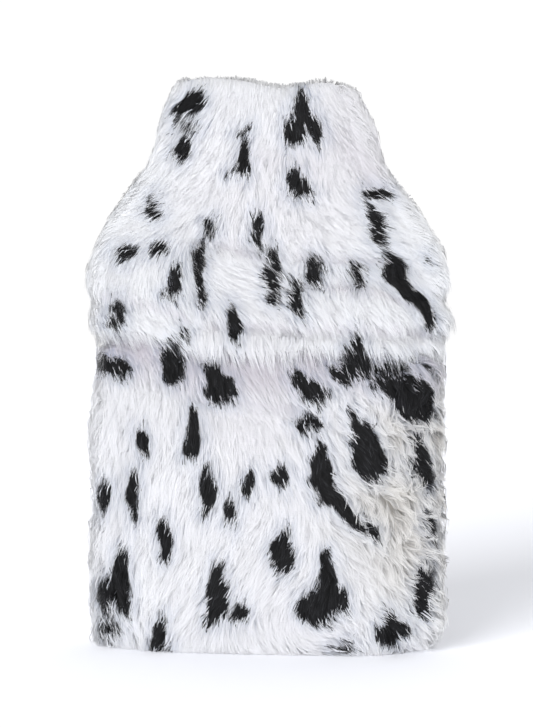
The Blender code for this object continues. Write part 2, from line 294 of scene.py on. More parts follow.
def even_rows(top, bottom):
    """Rows of heights from a top to a bottom, which may differ from column to column."""
    top = np.broadcast_to(top, (COLUMNS + 1,))
    bottom = np.broadcast_to(bottom, (COLUMNS + 1,))
    count = round(float(np.max(top - bottom)) / ROW_PITCH)
    share = np.linspace(0.0, 1.0, count + 1)[:, None]
    return top + (bottom - top) * share


# How the near side is seen. Its spots, brushing and creases are charted on a flat sheet through
# the middle of the cover, as they show from here.
SEEN_TURN = math.radians(8.0)
SEEN_LIFT = math.radians(3.0)
SEEN_FROM = 1.60
SEEN_MIDDLE = 0.178


def chart_place(points):
    """Where points show on the chart: distance right of the middle, and height."""
    ahead = np.array((-math.sin(SEEN_TURN), math.cos(SEEN_TURN), 0.0)) * math.cos(SEEN_LIFT)
    ahead[2] = -math.sin(SEEN_LIFT)
    right = np.array((math.cos(SEEN_TURN), math.sin(SEEN_TURN), 0.0))
    up = np.cross(right, ahead)
    from_middle = points - np.array((0.0, 0.0, SEEN_MIDDLE))
    nearer = SEEN_FROM / (SEEN_FROM + from_middle @ ahead)
    return (from_middle @ right) * nearer, (from_middle @ up) * nearer + SEEN_MIDDLE


Brushing = namedtuple("Brushing", "x z angle reach")

# Which way the pile is brushed on the near side: place in millimetres on the chart, angle in
# degrees anticlockwise from a fibre that points right, and reach in millimetres.
FRONT_BRUSHING = [Brushing(*row) for row in (
    (-42, 350, -140, 12), (-12, 352, -105, 14), (14, 348, -80, 12), (44, 350, -35, 12),
    (62, 336, -15, 14), (-52, 336, -140, 14), (-60, 318, -130, 16), (-52, 300, -140, 16),
    (-8, 314, -105, 22), (22, 322, -80, 16), (48, 312, -50, 18), (22, 292, -95, 16),
    (-72, 277, -172, 20), (-95, 262, -165, 16), (-35, 277, -120, 18), (0, 268, -80, 18),
    (40, 270, -40, 16), (70, 262, -12, 20), (98, 250, -20, 16), (-28, 240, -5, 14),
    (-5, 228, -25, 14), (-85, 236, -110, 18), (-58, 232, -75, 16), (-85, 204, -25, 16),
    (-58, 200, -48, 14), (28, 232, -60, 14), (62, 215, -57, 20), (95, 225, -50, 16),
    (-22, 192, -78, 14), (20, 190, -82, 14), (55, 190, -74, 14), (90, 190, -66, 14),
    (-90, 184, -45, 12), (-10, 160, -42, 16), (-45, 158, -75, 16), (28, 162, -50, 14),
    (-95, 150, -98, 20), (-60, 120, -95, 24), (-95, 95, -100, 22), (-20, 118, -88, 22),
    (20, 115, -66, 16), (-25, 75, -108, 22), (10, 50, -118, 20), (-35, 32, -125, 18),
    (-10, 10, -30, 12), (30, 10, -25, 12), (-95, 14, -60, 14), (-70, 50, -95, 18),
    (52, 88, -50, 16), (85, 118, -52, 18), (78, 68, -38, 16), (100, 90, -70, 12),
    (84, 30, -58, 16), (52, 40, -75, 16),
)]

Spot = namedtuple("Spot", "x0 z0 x1 z1 w0 w1")

# The black spots of the near side, each a stroke from one end to the other with its width at
# each end, in millimetres on the chart. They follow the photo's spots one by one: the strokes were
# read off it in pixels, and their numbers turned into millimetres, moved and widened by a script.
FRONT_SPOTS = [Spot(*row) for row in (
    (-45, 343, -55, 334, 10, 8), (-43, 340, -48, 334.5, 8, 6.5), (-57.5, 328, -50, 325, 4, 4.5),
    (-50, 325, -42, 325, 4.5, 4), (-51, 314.5, -55.5, 309, 8.5, 10),
    (-50, 311, -53.5, 306.5, 7.5, 6.5), (-16.5, 321.5, -11, 324.5, 5, 4.5),
    (-14.5, 314.5, -14, 297.5, 5, 8), (-21.5, 297.5, -14.5, 297.5, 6, 8),
    (-72, 281.5, -72.5, 275.5, 5, 6.5), (-73.5, 273.5, -68.5, 270.5, 6.5, 8),
    (-37, 265.5, -34, 260, 6, 7), (-6, 268, -5, 261.5, 7, 7.5), (-5, 261.5, -7, 252.5, 6.5, 8.5),
    (-92.5, 248, -85, 248, 6.5, 7.5), (-90, 245, -88.5, 246.5, 7, 7),
    (-66, 251, -70.5, 246.5, 7.5, 6.5), (-66, 251, -62.5, 248.5, 7, 5),
    (-55.5, 237, -58, 222, 6, 8.5), (-63.5, 220.5, -58.5, 219.5, 4.5, 6),
    (-40, 253.5, -41.5, 243, 4.5, 6.5), (-43, 246.5, -43, 229.5, 6, 5),
    (-41.5, 228, -40, 215.5, 4, 6.5), (-22, 214.5, -20, 201.5, 2.5, 8.5),
    (-19.5, 199.5, -19, 189, 10, 1), (-94, 215, -90, 212.5, 6.5, 5),
    (-96, 212, -92.5, 212, 4.5, 4.5), (-98.5, 201.5, -92.5, 198, 4, 3.5),
    (-93, 208, -90.5, 204.5, 4, 4.5), (-97.5, 204.5, -93.5, 202.5, 4, 4),
    (-50, 197.5, -50.5, 193.5, 6.5, 5), (-53.5, 191, -61, 186, 5.5, 9),
    (-63.5, 183.5, -53.5, 182, 8, 7.5), (-62.5, 178.5, -58.5, 167, 8.5, 6.5),
    (-55, 176.5, -55.5, 169.5, 6.5, 6), (-101, 179, -91, 177.5, 11, 9),
    (-103.5, 176, -87.5, 174.5, 7.5, 7), (-32.5, 171, -26.5, 158.5, 11.5, 13),
    (-24, 164.5, -21.5, 159.5, 10.5, 9), (-36.5, 161, -31.5, 156, 6, 7.5),
    (-37.5, 173.5, -34, 173.5, 4.5, 5), (-78.5, 136, -77, 127.5, 4.5, 6.5),
    (-77, 127.5, -75.5, 120.5, 6.5, 3.5), (-80.5, 134, -79, 127.5, 3.5, 4.5),
    (-45.5, 148.5, -45, 136, 5.5, 7.5), (-45, 132.5, -45, 123, 9, 8),
    (-50, 130, -49.5, 120.5, 4, 4), (-37.5, 112.5, -35.5, 100, 5.5, 11),
    (-35.5, 100, -38, 85, 11, 5), (-83, 110.5, -84, 94.5, 5, 7), (-84, 94.5, -82.5, 79.5, 7, 4),
    (-100.5, 102, -101.5, 92.5, 5, 9), (-101.5, 92.5, -103.5, 85, 9, 4),
    (-66, 82, -63.5, 70.5, 4, 7.5), (-63, 69.5, -62, 57.5, 8, 5.5),
    (-10, 110, -11.5, 102, 3.5, 7), (-14, 100.5, -11.5, 95, 6.5, 4), (-24, 92.5, -22, 83, 5, 7.5),
    (-21.5, 83, -19.5, 74, 6.5, 1), (-90, 59, -91, 39.5, 8.5, 11.5),
    (-100, 39, -90, 30.5, 11, 10.5), (-103, 33, -101, 24, 7, 6), (-90, 27, -88.5, 21.5, 7.5, 6),
    (-101, 11, -96, 13, 8.5, 10.5), (-64.5, 19, -67.5, 5.5, 6, 8.5), (-71, 0.5, -61, 0, 4, 4),
    (-29.5, 51.5, -31.5, 36.5, 7.5, 11.5), (-31.5, 36.5, -34, 19.5, 11.5, 8),
    (-26.5, 38, -27.5, 24, 6.5, 6.5), (-16.5, 24, -14.5, 22, 8, 6.5),
    (-22, 22, -19, 19.5, 6, 6.5), (19.5, 342.5, 25.5, 343, 6, 4.5), (22, 345, 23, 338, 6, 6.5),
    (23, 336.5, 18.5, 326.5, 6.5, 13), (16, 322.5, 16.5, 317.5, 10.5, 9),
    (26, 331.5, 31.5, 324, 8, 8), (31.5, 324, 32, 316, 8, 6), (21, 325, 22, 320, 7.5, 6.5),
    (18, 294, 23, 286.5, 11, 11), (26, 286.5, 28.5, 284, 6.5, 4.5),
    (15.5, 285.5, 18.5, 283, 7, 6.5), (60.5, 283, 65.5, 284, 5, 6.5),
    (65.5, 283.5, 74.5, 283, 7, 6), (63, 274, 69, 268, 5, 7.5), (70, 268, 70.5, 256.5, 8.5, 9),
    (65.5, 256, 70.5, 253.5, 4.5, 6), (64.5, 261, 68, 261, 4, 5), (77, 248, 79, 238.5, 5.5, 10),
    (79, 238.5, 83, 229.5, 11.5, 11.5), (73, 234.5, 78, 230.5, 5, 8),
    (83, 228, 89.5, 222, 10.5, 8), (90.5, 220, 97, 213, 7.5, 7), (98, 213, 102.5, 202, 8.5, 8),
    (100, 243.5, 101, 241, 3.5, 4), (4, 248, 4, 234.5, 6, 9), (3.5, 232, 5.5, 223, 10, 9),
    (2, 222, 3.5, 217.5, 7, 6), (31, 242, 28.5, 232, 6.5, 11), (34.5, 237.5, 37, 237.5, 7, 4),
    (27, 228.5, 34.5, 227.5, 7, 4.5), (56.5, 240, 57, 228, 6.5, 7),
    (53, 235.5, 55.5, 235.5, 4.5, 5), (59, 238, 61.5, 237.5, 4, 4), (18, 228, 18.5, 217, 6.5, 7),
    (19, 217, 21, 208, 7.5, 5), (56.5, 196.5, 58, 189, 4, 9), (51, 186, 52, 179.5, 6, 8),
    (57, 187, 60.5, 179.5, 9, 8), (41, 175, 46, 169.5, 5, 8),
    (48.5, 173.5, 55.5, 172, 11.5, 10.5), (58, 184.5, 65.5, 174.5, 8, 5.5),
    (59.5, 172.5, 65, 171, 4, 4), (71.5, 174.5, 85.5, 175, 6.5, 6.5),
    (72.5, 167, 82, 164.5, 8.5, 13), (82, 161, 92, 154.5, 16.5, 23),
    (90.5, 153.5, 98, 149.5, 20.5, 16.5), (87, 169.5, 92, 167, 5, 5),
    (97, 167, 100.5, 158.5, 6.5, 6.5), (67, 163.5, 70.5, 164.5, 4.5, 6.5),
    (19, 168, 26, 163, 9, 11), (26, 163, 34.5, 158.5, 10.5, 9), (34.5, 162, 38.5, 161, 6.5, 4.5),
    (23.5, 154.5, 31, 154, 3.5, 4), (21, 140, 22, 136, 6.5, 5), (23.5, 141.5, 31.5, 140, 6, 8),
    (33.5, 126, 34, 116, 8, 12.5), (34, 113.5, 35, 105, 14, 16.5),
    (38.5, 98.5, 44.5, 90, 11.5, 10), (46.5, 88, 53, 80, 8.5, 7.5),
    (54, 79.5, 59.5, 75.5, 6.5, 5), (64, 77, 68, 70.5, 6, 6.5), (32.5, 91, 38.5, 95.5, 4, 6.5),
    (52.5, 148.5, 57, 137.5, 4, 6), (59.5, 140, 62.5, 130, 5.5, 13.5),
    (62.5, 125.5, 64, 117.5, 18, 22.5), (64, 116, 64.5, 112.5, 21.5, 16.5),
    (9, 110, 9, 106, 9, 11.5), (96, 128.5, 98, 118.5, 5, 10), (98.5, 116, 102, 105, 10.5, 8),
    (90.5, 126.5, 95.5, 122.5, 1, 6.5), (85, 117.5, 93, 115, 1, 6), (90, 107.5, 97, 107, 1, 7),
    (102, 102.5, 102, 98.5, 6, 4), (100, 85.5, 103.5, 77.5, 3.5, 6),
    (97.5, 77, 102.5, 79, 1, 4.5), (104.5, 72.5, 104.5, 65, 3.5, 3.5),
    (11.5, 74, 10.5, 62.5, 5, 13), (9, 61, 10.5, 54.5, 16, 13.5), (37.5, 59, 37.5, 55, 7, 7.5),
    (37.5, 54, 38.5, 40, 6, 11), (27.5, 29, 43.5, 30.5, 15, 16), (24, 25.5, 32, 23, 12.5, 12.5),
    (46, 35.5, 48.5, 28, 8, 8), (36.5, 36.5, 34.5, 23, 13, 12.5), (102, 52.5, 99.5, 42.5, 4, 10),
    (98, 41, 97.5, 23, 10.5, 8.5), (94.5, 30.5, 95.5, 23, 7, 7), (76.5, 21.5, 80, 14.5, 6, 10.5),
    (82, 16.5, 85, 10.5, 9, 8.5), (73, 10.5, 78, 6.5, 7.5, 7.5), (70.5, 14.5, 73, 8, 4.5, 6.5),
    (46.5, 1.5, 52, 1.5, 4.5, 5), (42, 0.5, 44.5, 0.5, 3.5, 3.5), (52, 0.5, 55, 1.5, 4, 4),
    (90, 180, 92.5, 181, 3.5, 3.5), (98.5, 177, 102.5, 174.5, 3.5, 3.5),
)]
MILLIMETRE = 0.001
INK_HAZE = 0.008
BARBS_WHOLE_AT = 0.011
BARB_WIDE = 0.0022
BARB_LONG = 0.0085
FINE_BARB_WIDE = 0.0009
FINE_BARB_LONG = 0.0050
BARB_SHARE_INSIDE = 0.25
SHORTEST_BARBS = 0.3
BARB_SHUFFLE = (12.9898, 43758.5453)

Manner = namedtuple("Manner", "x z spread length tousle clump curl cream lilac")

# How the pile lies on the near side: place and spread in millimetres, its length as a share of
# the usual, and from 0 to 1 how tousled, clumped, curly, creamy and lilac it is. The creamy pile
# has painted shade at its roots, and the lilac-grey tone is painted shade in the hollows.
FRONT_MANNERS = [Manner(*row) for row in (
    (-84, 266, 26, 0.80, 0.05, 0.00, 0.0, 0.0, 0.0),
    (-92, 232, 22, 0.80, 0.05, 0.00, 0.0, 0.0, 0.0),
    (88, 262, 22, 0.80, 0.05, 0.00, 0.0, 0.0, 0.0),
    (55, 310, 22, 0.75, 0.10, 0.05, 0.0, 0.0, 1.0),
    (-55, 318, 20, 0.80, 0.20, 0.20, 0.0, 0.0, 0.1),
    (-8, 340, 20, 0.75, 0.15, 0.10, 0.0, 0.0, 0.1), (0, 290, 30, 0.95, 0.60, 0.50, 0.2, 0.0, 0.8),
    (-28, 236, 22, 0.90, 0.15, 0.20, 0.0, 0.0, 0.2),
    (60, 222, 26, 0.95, 0.30, 0.50, 0.0, 0.0, 0.1),
    (-70, 196, 12, 1.10, 0.30, 0.80, 0.0, 0.0, 0.0),
    (-25, 192, 12, 1.15, 0.35, 0.85, 0.0, 0.0, 0.0),
    (15, 192, 12, 1.15, 0.35, 0.85, 0.0, 0.0, 0.0),
    (55, 192, 12, 1.15, 0.35, 0.85, 0.0, 0.0, 0.0),
    (90, 194, 12, 1.10, 0.35, 0.85, 0.0, 0.0, 0.0),
    (-12, 160, 26, 0.90, 0.30, 0.30, 0.0, 0.0, 1.0),
    (-88, 160, 22, 1.00, 0.20, 0.30, 0.0, 0.0, 0.3),
    (-70, 110, 32, 1.10, 0.30, 0.50, 0.0, 0.0, 0.3),
    (-20, 60, 32, 1.10, 0.35, 0.40, 0.1, 0.0, 0.5),
    (-85, 30, 26, 1.10, 0.50, 0.70, 0.2, 0.0, 0.2),
    (20, 115, 22, 0.95, 0.40, 0.50, 0.3, 0.0, 0.5),
    (52, 150, 16, 0.85, 0.60, 0.70, 0.5, 0.1, 0.5),
    (66, 120, 12, 0.85, 0.60, 0.80, 0.6, 0.3, 0.3),
    (100, 158, 13, 0.90, 0.90, 1.00, 0.8, 1.2, 0.0),
    (92, 120, 22, 0.95, 1.20, 1.15, 1.0, 1.1, 0.0), (72, 86, 18, 0.95, 1.20, 1.15, 1.0, 1.1, 0.0),
    (90, 60, 22, 1.00, 1.10, 1.10, 1.0, 0.9, 0.0), (46, 62, 20, 1.00, 0.50, 0.60, 0.4, 0.0, 0.5),
    (40, 24, 24, 1.00, 0.50, 0.60, 0.3, 0.0, 0.6), (80, 14, 18, 1.00, 0.70, 0.80, 0.5, 0.1, 0.2),
)]
USUAL_MANNER = (1.0, 0.4, 0.5, 0.1, 0.0, 0.3)


def manner_at(points, patches):
    """The pile's manner at each point, from its length to how much lilac-grey painted shade it has,
    mixed from a chart.
    """
    x, z = chart_place(points)
    total = np.full(x.shape, 1e-4)
    mixed = total[..., None] * np.array(USUAL_MANNER)
    for patch in patches:
        away = (x - patch.x * MILLIMETRE) ** 2 + (z - patch.z * MILLIMETRE) ** 2
        weight = np.exp(-away / (2 * (patch.spread * MILLIMETRE) ** 2))
        total += weight
        mixed += weight[..., None] * np.array(patch[3:])
    return np.moveaxis(mixed / total[..., None], -1, 0)


def brushed_way(x, z, strokes):
    """Right and up parts of the way in which the pile is brushed at places on the chart."""
    right, up = np.zeros_like(x), np.full_like(x, -0.05)
    for stroke in strokes:
        away = (x - stroke.x * MILLIMETRE) ** 2 + (z - stroke.z * MILLIMETRE) ** 2
        weight = np.exp(-away / (2 * (stroke.reach * MILLIMETRE) ** 2))
        right += weight * math.cos(math.radians(stroke.angle))
        up += weight * math.sin(math.radians(stroke.angle))
    return right, up


def barbs(across):
    """Uneven points from 0 to 1, side by side, one to each whole step of the distance across."""
    step = np.floor(across)
    size = np.mod(np.sin(step * BARB_SHUFFLE[0]) * BARB_SHUFFLE[1], 1.0)
    return size * (1.0 - np.abs(2.0 * (across - step) - 1.0))


def ink_at(spots, x, z, strokes):
    """How far inside the nearest spot's edge each place is, in metres, negative outside.

    The edge runs out in points along the way in which the pile is brushed.
    """
    best = np.full(x.shape, -INK_HAZE)
    for number, spot in enumerate(spots):
        x0, z0, x1, z1, w0, w1 = (MILLIMETRE * value for value in spot)
        around = INK_HAZE + max(w0, w1) / 2
        near = (x > min(x0, x1) - around) & (x < max(x0, x1) + around)
        near &= (z > min(z0, z1) - around) & (z < max(z0, z1) + around)
        off_x, off_z = x[near] - x0, z[near] - z0
        right, up = brushed_way(np.array((x0 + x1) / 2), np.array((z0 + z1) / 2), strokes)
        right, up = right / np.hypot(right, up), up / np.hypot(right, up)
        across = off_z * right - off_x * up
        point = BARB_LONG * (barbs(across / BARB_WIDE + 7 * number) - BARB_SHARE_INSIDE)
        fine = barbs(across / FINE_BARB_WIDE + 3 * number) - BARB_SHARE_INSIDE
        point += FINE_BARB_LONG * fine
        point *= np.clip(max(w0, w1) / BARBS_WHOLE_AT, SHORTEST_BARBS, 1.0)
        off_x, off_z = off_x - point * right, off_z - point * up
        run_x, run_z = x1 - x0, z1 - z0
        share = (off_x * run_x + off_z * run_z) / max(run_x**2 + run_z**2, 1e-12)
        share = np.clip(share, 0.0, 1.0)
        away = np.hypot(off_x - run_x * share, off_z - run_z * share)
        best[near] = np.maximum(best[near], (w0 + (w1 - w0) * share) / 2 - away)
    return best


def front_ink(points):
    """The spots of the near side at each point."""
    return ink_at(FRONT_SPOTS, *chart_place(points), FRONT_BRUSHING)


Crease = namedtuple("Crease", "x0 z0 x1 z1 width depth")

# Creases and hollows of the near side, where less light gets in between the locks: a stroke and
# its width in millimetres on the chart, and how dark it is from 0 to 1.
FRONT_CREASES = [Crease(*row) for row in (
    (-39, 201, 21, 199, 3.0, 0.90), (21, 199, 102, 196, 3.0, 0.90),
    (-102, 219, -72, 214, 3.2, 0.65), (-72, 214, -50, 206, 3.2, 0.70),
    (24, 226, 64, 224, 3.4, 0.70), (64, 224, 102, 210, 3.4, 0.60), (-39, 255, -3, 244, 3.2, 0.60),
    (21, 243, 83, 241, 3.2, 0.55), (-41, 254, -42, 212, 3.0, 0.50),
    (-78, 168, -30, 158, 7.0, 0.35), (-30, 158, 19, 149, 7.0, 0.35),
    (46, 318, 66, 294, 16.0, 0.40), (-15, 308, 30, 300, 10.0, 0.25),
)]


def crease_at(points):
    """How dark the creases of the near side make each point, from 0 to 1."""
    x, z = chart_place(points)
    dark = np.zeros_like(x)
    for crease in FRONT_CREASES:
        x0, z0, x1, z1, width = (MILLIMETRE * value for value in crease[:5])
        near = (x > min(x0, x1) - width) & (x < max(x0, x1) + width)
        near &= (z > min(z0, z1) - width) & (z < max(z0, z1) + width)
        run_x, run_z = x1 - x0, z1 - z0
        share = ((x[near] - x0) * run_x + (z[near] - z0) * run_z) / (run_x**2 + run_z**2)
        share = np.clip(share, 0.0, 1.0)
        away = np.hypot(x[near] - x0 - run_x * share, z[near] - z0 - run_z * share)
        dark[near] = np.maximum(dark[near], crease.depth * (1.0 - smooth(0.0, width, away)))
    return dark


def brushed(points, normal, strokes):
    """Unit directions along the surface in which the pile is brushed, from a chart."""
    x, z = chart_place(points)
    right, up = brushed_way(x, z, strokes)
    way = np.stack((right * math.cos(SEEN_TURN), right * math.sin(SEEN_TURN), up), axis=-1)
    return along_surface(way, normal)


def along_surface(way, normal):
    """A direction laid down along the surface, with unit length."""
    flat = way - normal * np.sum(way * normal, axis=-1, keepdims=True)
    return flat / np.maximum(np.linalg.norm(flat, axis=-1, keepdims=True), 1e-6)


ON_TOP_OF_RIM = (0.35, 0.8)
FALLS_RISING = 0.3


def fall_outwards(comb, normal, side):
    """Brushing directions in which the pile on top of a rim falls to the outer side."""
    on_top = smooth(*ON_TOP_OF_RIM, normal[..., 2])[..., None]
    over = along_surface(np.zeros_like(normal) + np.array((0.0, side, FALLS_RISING)), normal)
    return comb * (1.0 - on_top) + over * on_top


BACK_LAYER = 3.0
BRUSH_SWIRL = 0.9
BRUSH_SWIRL_SCALE = 0.060


def brushed_plainly(points, normal, layer):
    """Pile brushed down with soft swirls."""
    flat = points.reshape(-1, 3)
    swirl = BRUSH_SWIRL * drift(flat, BRUSH_SWIRL_SCALE, layer).reshape(points.shape[:2])
    way = np.zeros_like(points)
    way[..., 2] = -np.cos(swirl)
    tangent = np.gradient(points, axis=1)
    tangent /= np.maximum(np.linalg.norm(tangent, axis=-1, keepdims=True), 1e-9)
    way += tangent * np.sin(swirl)[..., None]
    return along_surface(way, normal)


SPOT_PITCH = 27.0
SPOT_LENGTHS = (6.0, 34.0)
SPOT_WIDTHS = (6.0, 13.0)
SPOT_LEANS = (60, 115)
SPOT_SHIFT = 0.34
SPOTS_LEFT_OUT = 0.12
SPOTS_BRANCHED = 0.25
BRANCH_REACH = (14, 8)


def scattered_spots(seed, width, height):
    """Spots of the same kinds in an uneven scatter, for a side that the chart doesn't reach."""
    chance = random.Random(seed)
    found = []
    rows, columns = int(height / SPOT_PITCH), int(width / SPOT_PITCH)
    for row in range(rows + 1):
        for column in range(-columns // 2, columns // 2 + 2):
            if chance.random() < SPOTS_LEFT_OUT:
                continue
            shift = chance.uniform(-SPOT_SHIFT, SPOT_SHIFT)
            x = (column + 0.5 * (row % 2) + shift) * SPOT_PITCH
            z = (row + chance.uniform(-SPOT_SHIFT, SPOT_SHIFT)) * SPOT_PITCH
            length = chance.uniform(*SPOT_LENGTHS)
            lean = math.radians(chance.uniform(*SPOT_LEANS))
            w0, w1 = chance.uniform(*SPOT_WIDTHS), chance.uniform(*SPOT_WIDTHS)
            x_end, z_end = x + length * math.cos(lean), z - length * math.sin(lean)
            found.append(Spot(x, z, x_end, z_end, w0, w1))
            if chance.random() < SPOTS_BRANCHED:
                x_end = x + chance.uniform(-BRANCH_REACH[0], BRANCH_REACH[0])
                z_end = z - chance.uniform(0, BRANCH_REACH[1])
                found.append(Spot(x, z, x_end, z_end, w0, w0))
    return found


def sheet_mesh(name, outer, inner):
    """A closed sheet from its outer and inner grids of points, with its fur's directions."""
    rows, columns = outer.shape[:2]
    points = np.concatenate((outer.reshape(-1, 3), inner.reshape(-1, 3)))
    number = np.arange(rows * columns).reshape(rows, columns)
    under = number + rows * columns
    faces = [
        np.stack((number[:-1, :-1], number[1:, :-1], number[1:, 1:], number[:-1, 1:]), -1),
        np.stack((under[:-1, 1:], under[1:, 1:], under[1:, :-1], under[:-1, :-1]), -1),
    ]
    faces = [f.reshape(-1, 4) for f in faces]
    loops = ((number[0], under[0]), (number[:, -1], under[:, -1]))
    loops += ((number[-1][::-1], under[-1][::-1]), (number[::-1, 0], under[::-1, 0]))
    for edge, below in loops:
        faces.append(np.stack((edge[:-1], edge[1:], below[1:], below[:-1]), -1))
    mesh = bpy.data.meshes.new(name)
    mesh.from_pydata(points.tolist(), [], np.concatenate(faces).tolist())
    count = (rows - 1) * (columns - 1)
    mesh.polygons.foreach_set(
        "material_index", np.array([0] * count + [1] * (len(mesh.polygons) - count), np.int32)
    )
    mesh.shade_smooth()
    mesh.update()
    return mesh


def put_attribute(mesh, name, values, spare=0.0):
    """An attribute of a sheet's outer points. Its inner points get the spare value."""
    values = np.asarray(values, np.float32)
    vector = values.ndim == 3
    flat = values.reshape(-1, 3) if vector else values.reshape(-1)
    full = np.full((len(mesh.vertices),) + flat.shape[1:], spare, np.float32)
    full[: len(flat)] = flat
    kind, field = ("FLOAT_VECTOR", "vector") if vector else ("FLOAT", "value")
    mesh.attributes.new(name, kind, "POINT").data.foreach_set(field, full.ravel())


def turned_out(mesh):
    """True where a closed mesh has its faces pointing out."""
    total = 0.0
    for polygon in mesh.polygons:
        total += polygon.center.dot(polygon.normal) * polygon.area
    return total > 0.0


def socket_of(tree, value, target):
    """Links a socket to a target, or puts a plain value on it."""
    if isinstance(value, bpy.types.NodeSocket):
        tree.links.new(value, target)
    else:
        target.default_value = value


class Bench:
    """A node tree in the making: each call adds one node and gives back its first output."""

    def __init__(self, tree):
        self.tree = tree

    def node(self, kind, inputs=(), output=0, **settings):
        made = self.tree.nodes.new(kind)
        for name, value in settings.items():
            setattr(made, name, value)
        for key, value in dict(inputs).items():
            socket_of(self.tree, value, made.inputs[key])
        return made.outputs[output]

    def number(self, operation, *values, clamp=False):
        return self.node("ShaderNodeMath", dict(enumerate(values)), operation=operation,
                         use_clamp=clamp)

    def vector(self, operation, *values, output=0):
        inputs = dict(enumerate(values))
        if operation == "SCALE":
            inputs = {0: values[0], "Scale": values[1]}
        return self.node("ShaderNodeVectorMath", inputs, output, operation=operation)

    def named(self, name, kind="FLOAT"):
        made = self.tree.nodes.new("GeometryNodeInputNamedAttribute")
        made.data_type = kind
        made.inputs["Name"].default_value = name
        return made.outputs["Attribute"]

    def store(self, geometry, name, value, kind="FLOAT"):
        made = self.tree.nodes.new("GeometryNodeStoreNamedAttribute")
        made.data_type, made.domain = kind, "POINT"
        made.inputs["Name"].default_value = name
        self.tree.links.new(geometry, made.inputs["Geometry"])
        self.tree.links.new(value, made.inputs["Value"])
        return made.outputs["Geometry"]

    def chance(self, low, high, seed):
        made = self.tree.nodes.new("FunctionNodeRandomValue")
        made.data_type = "FLOAT"
        for socket, value in zip((made.inputs[2], made.inputs[3], made.inputs["Seed"]),
                                 (low, high, seed)):
            socket_of(self.tree, value, socket)
        return made.outputs[1]


PILE_INPUTS = (
    ("Fibres per Square Metre", "NodeSocketFloat", 1.6e6),
    ("Fibre Length", "NodeSocketFloat", 0.014),
    ("Fibre Width", "NodeSocketFloat", 0.00032),
    ("Fibre Rows", "NodeSocketInt", 4),
    ("Guard Share", "NodeSocketFloat", 0.16),
    ("Guard Width", "NodeSocketFloat", 2.6),
    ("Stand", "NodeSocketFloat", 0.0085),
    ("Lock Size", "NodeSocketFloat", 0.017),
    ("Tuft Size", "NodeSocketFloat", 0.0048),
    ("Strand Size", "NodeSocketFloat", 0.0016),
    ("Lock Pull", "NodeSocketFloat", 0.20),
    ("Tuft Pull", "NodeSocketFloat", 0.75),
    ("Strand Pull", "NodeSocketFloat", 0.70),
    ("Spot Feather", "NodeSocketFloat", 0.0030),
    ("Guard Feather", "NodeSocketFloat", 0.0060),
    ("Spot Warp", "NodeSocketFloat", 0.0100),
    ("Warp Scale", "NodeSocketFloat", 90.0),
    ("Lock Turn", "NodeSocketFloat", 1.1),
    ("Tuft Turn", "NodeSocketFloat", 1.0),
    ("Fibre Turn", "NodeSocketFloat", 0.13),
    ("Lowest Root", "NodeSocketFloat", -1.0),
    ("Highest Root", "NodeSocketFloat", 1.0),
    ("Seed", "NodeSocketInt", 1),
    ("Fibre", "NodeSocketMaterial", None),
)


# How a fibre differs from its neighbours. A pair to multiply by and then add, for what follows
# the clump, lock or tuft; a lowest and a highest value for what is left to chance.
GUARDS_BY_CLUMP = (0.9, 0.4)
LENGTH_BY_LOCK = (0.25, 0.82)
LENGTH_BY_TUFT = (0.35, 0.80)
LENGTH_BY_CHANCE = (0.75, 1.10)
STAND_BY_LOCK = 0.15
STAND_BY_TUFT = 0.55
STAND_BY_CHANCE = (0.86, 1.12)
STAND_OF_GUARD = (0.16, 1.0)
STRANDS_BY_CLUMP = (0.8, 0.2)
WIDTH_BY_CHANCE = (0.6, 1.3)
ROLL_BY_CHANCE = (0.2, 1.4)
WAVE_BY_TUFT = (0.8, 0.4)
TIP_STANDS = 0.75
ROOT_STANDS = 2.3
ROOT_LEANS = 0.45
TAPER_POWER = 1.6
TAPER = 0.86
WAVE_TURNS = 5.2
CRISP_BY_CLUMP = (0.16, 0.02)
CRISP_BY_CURL = 130.0
LOWEST_FIBRE = 0.0004


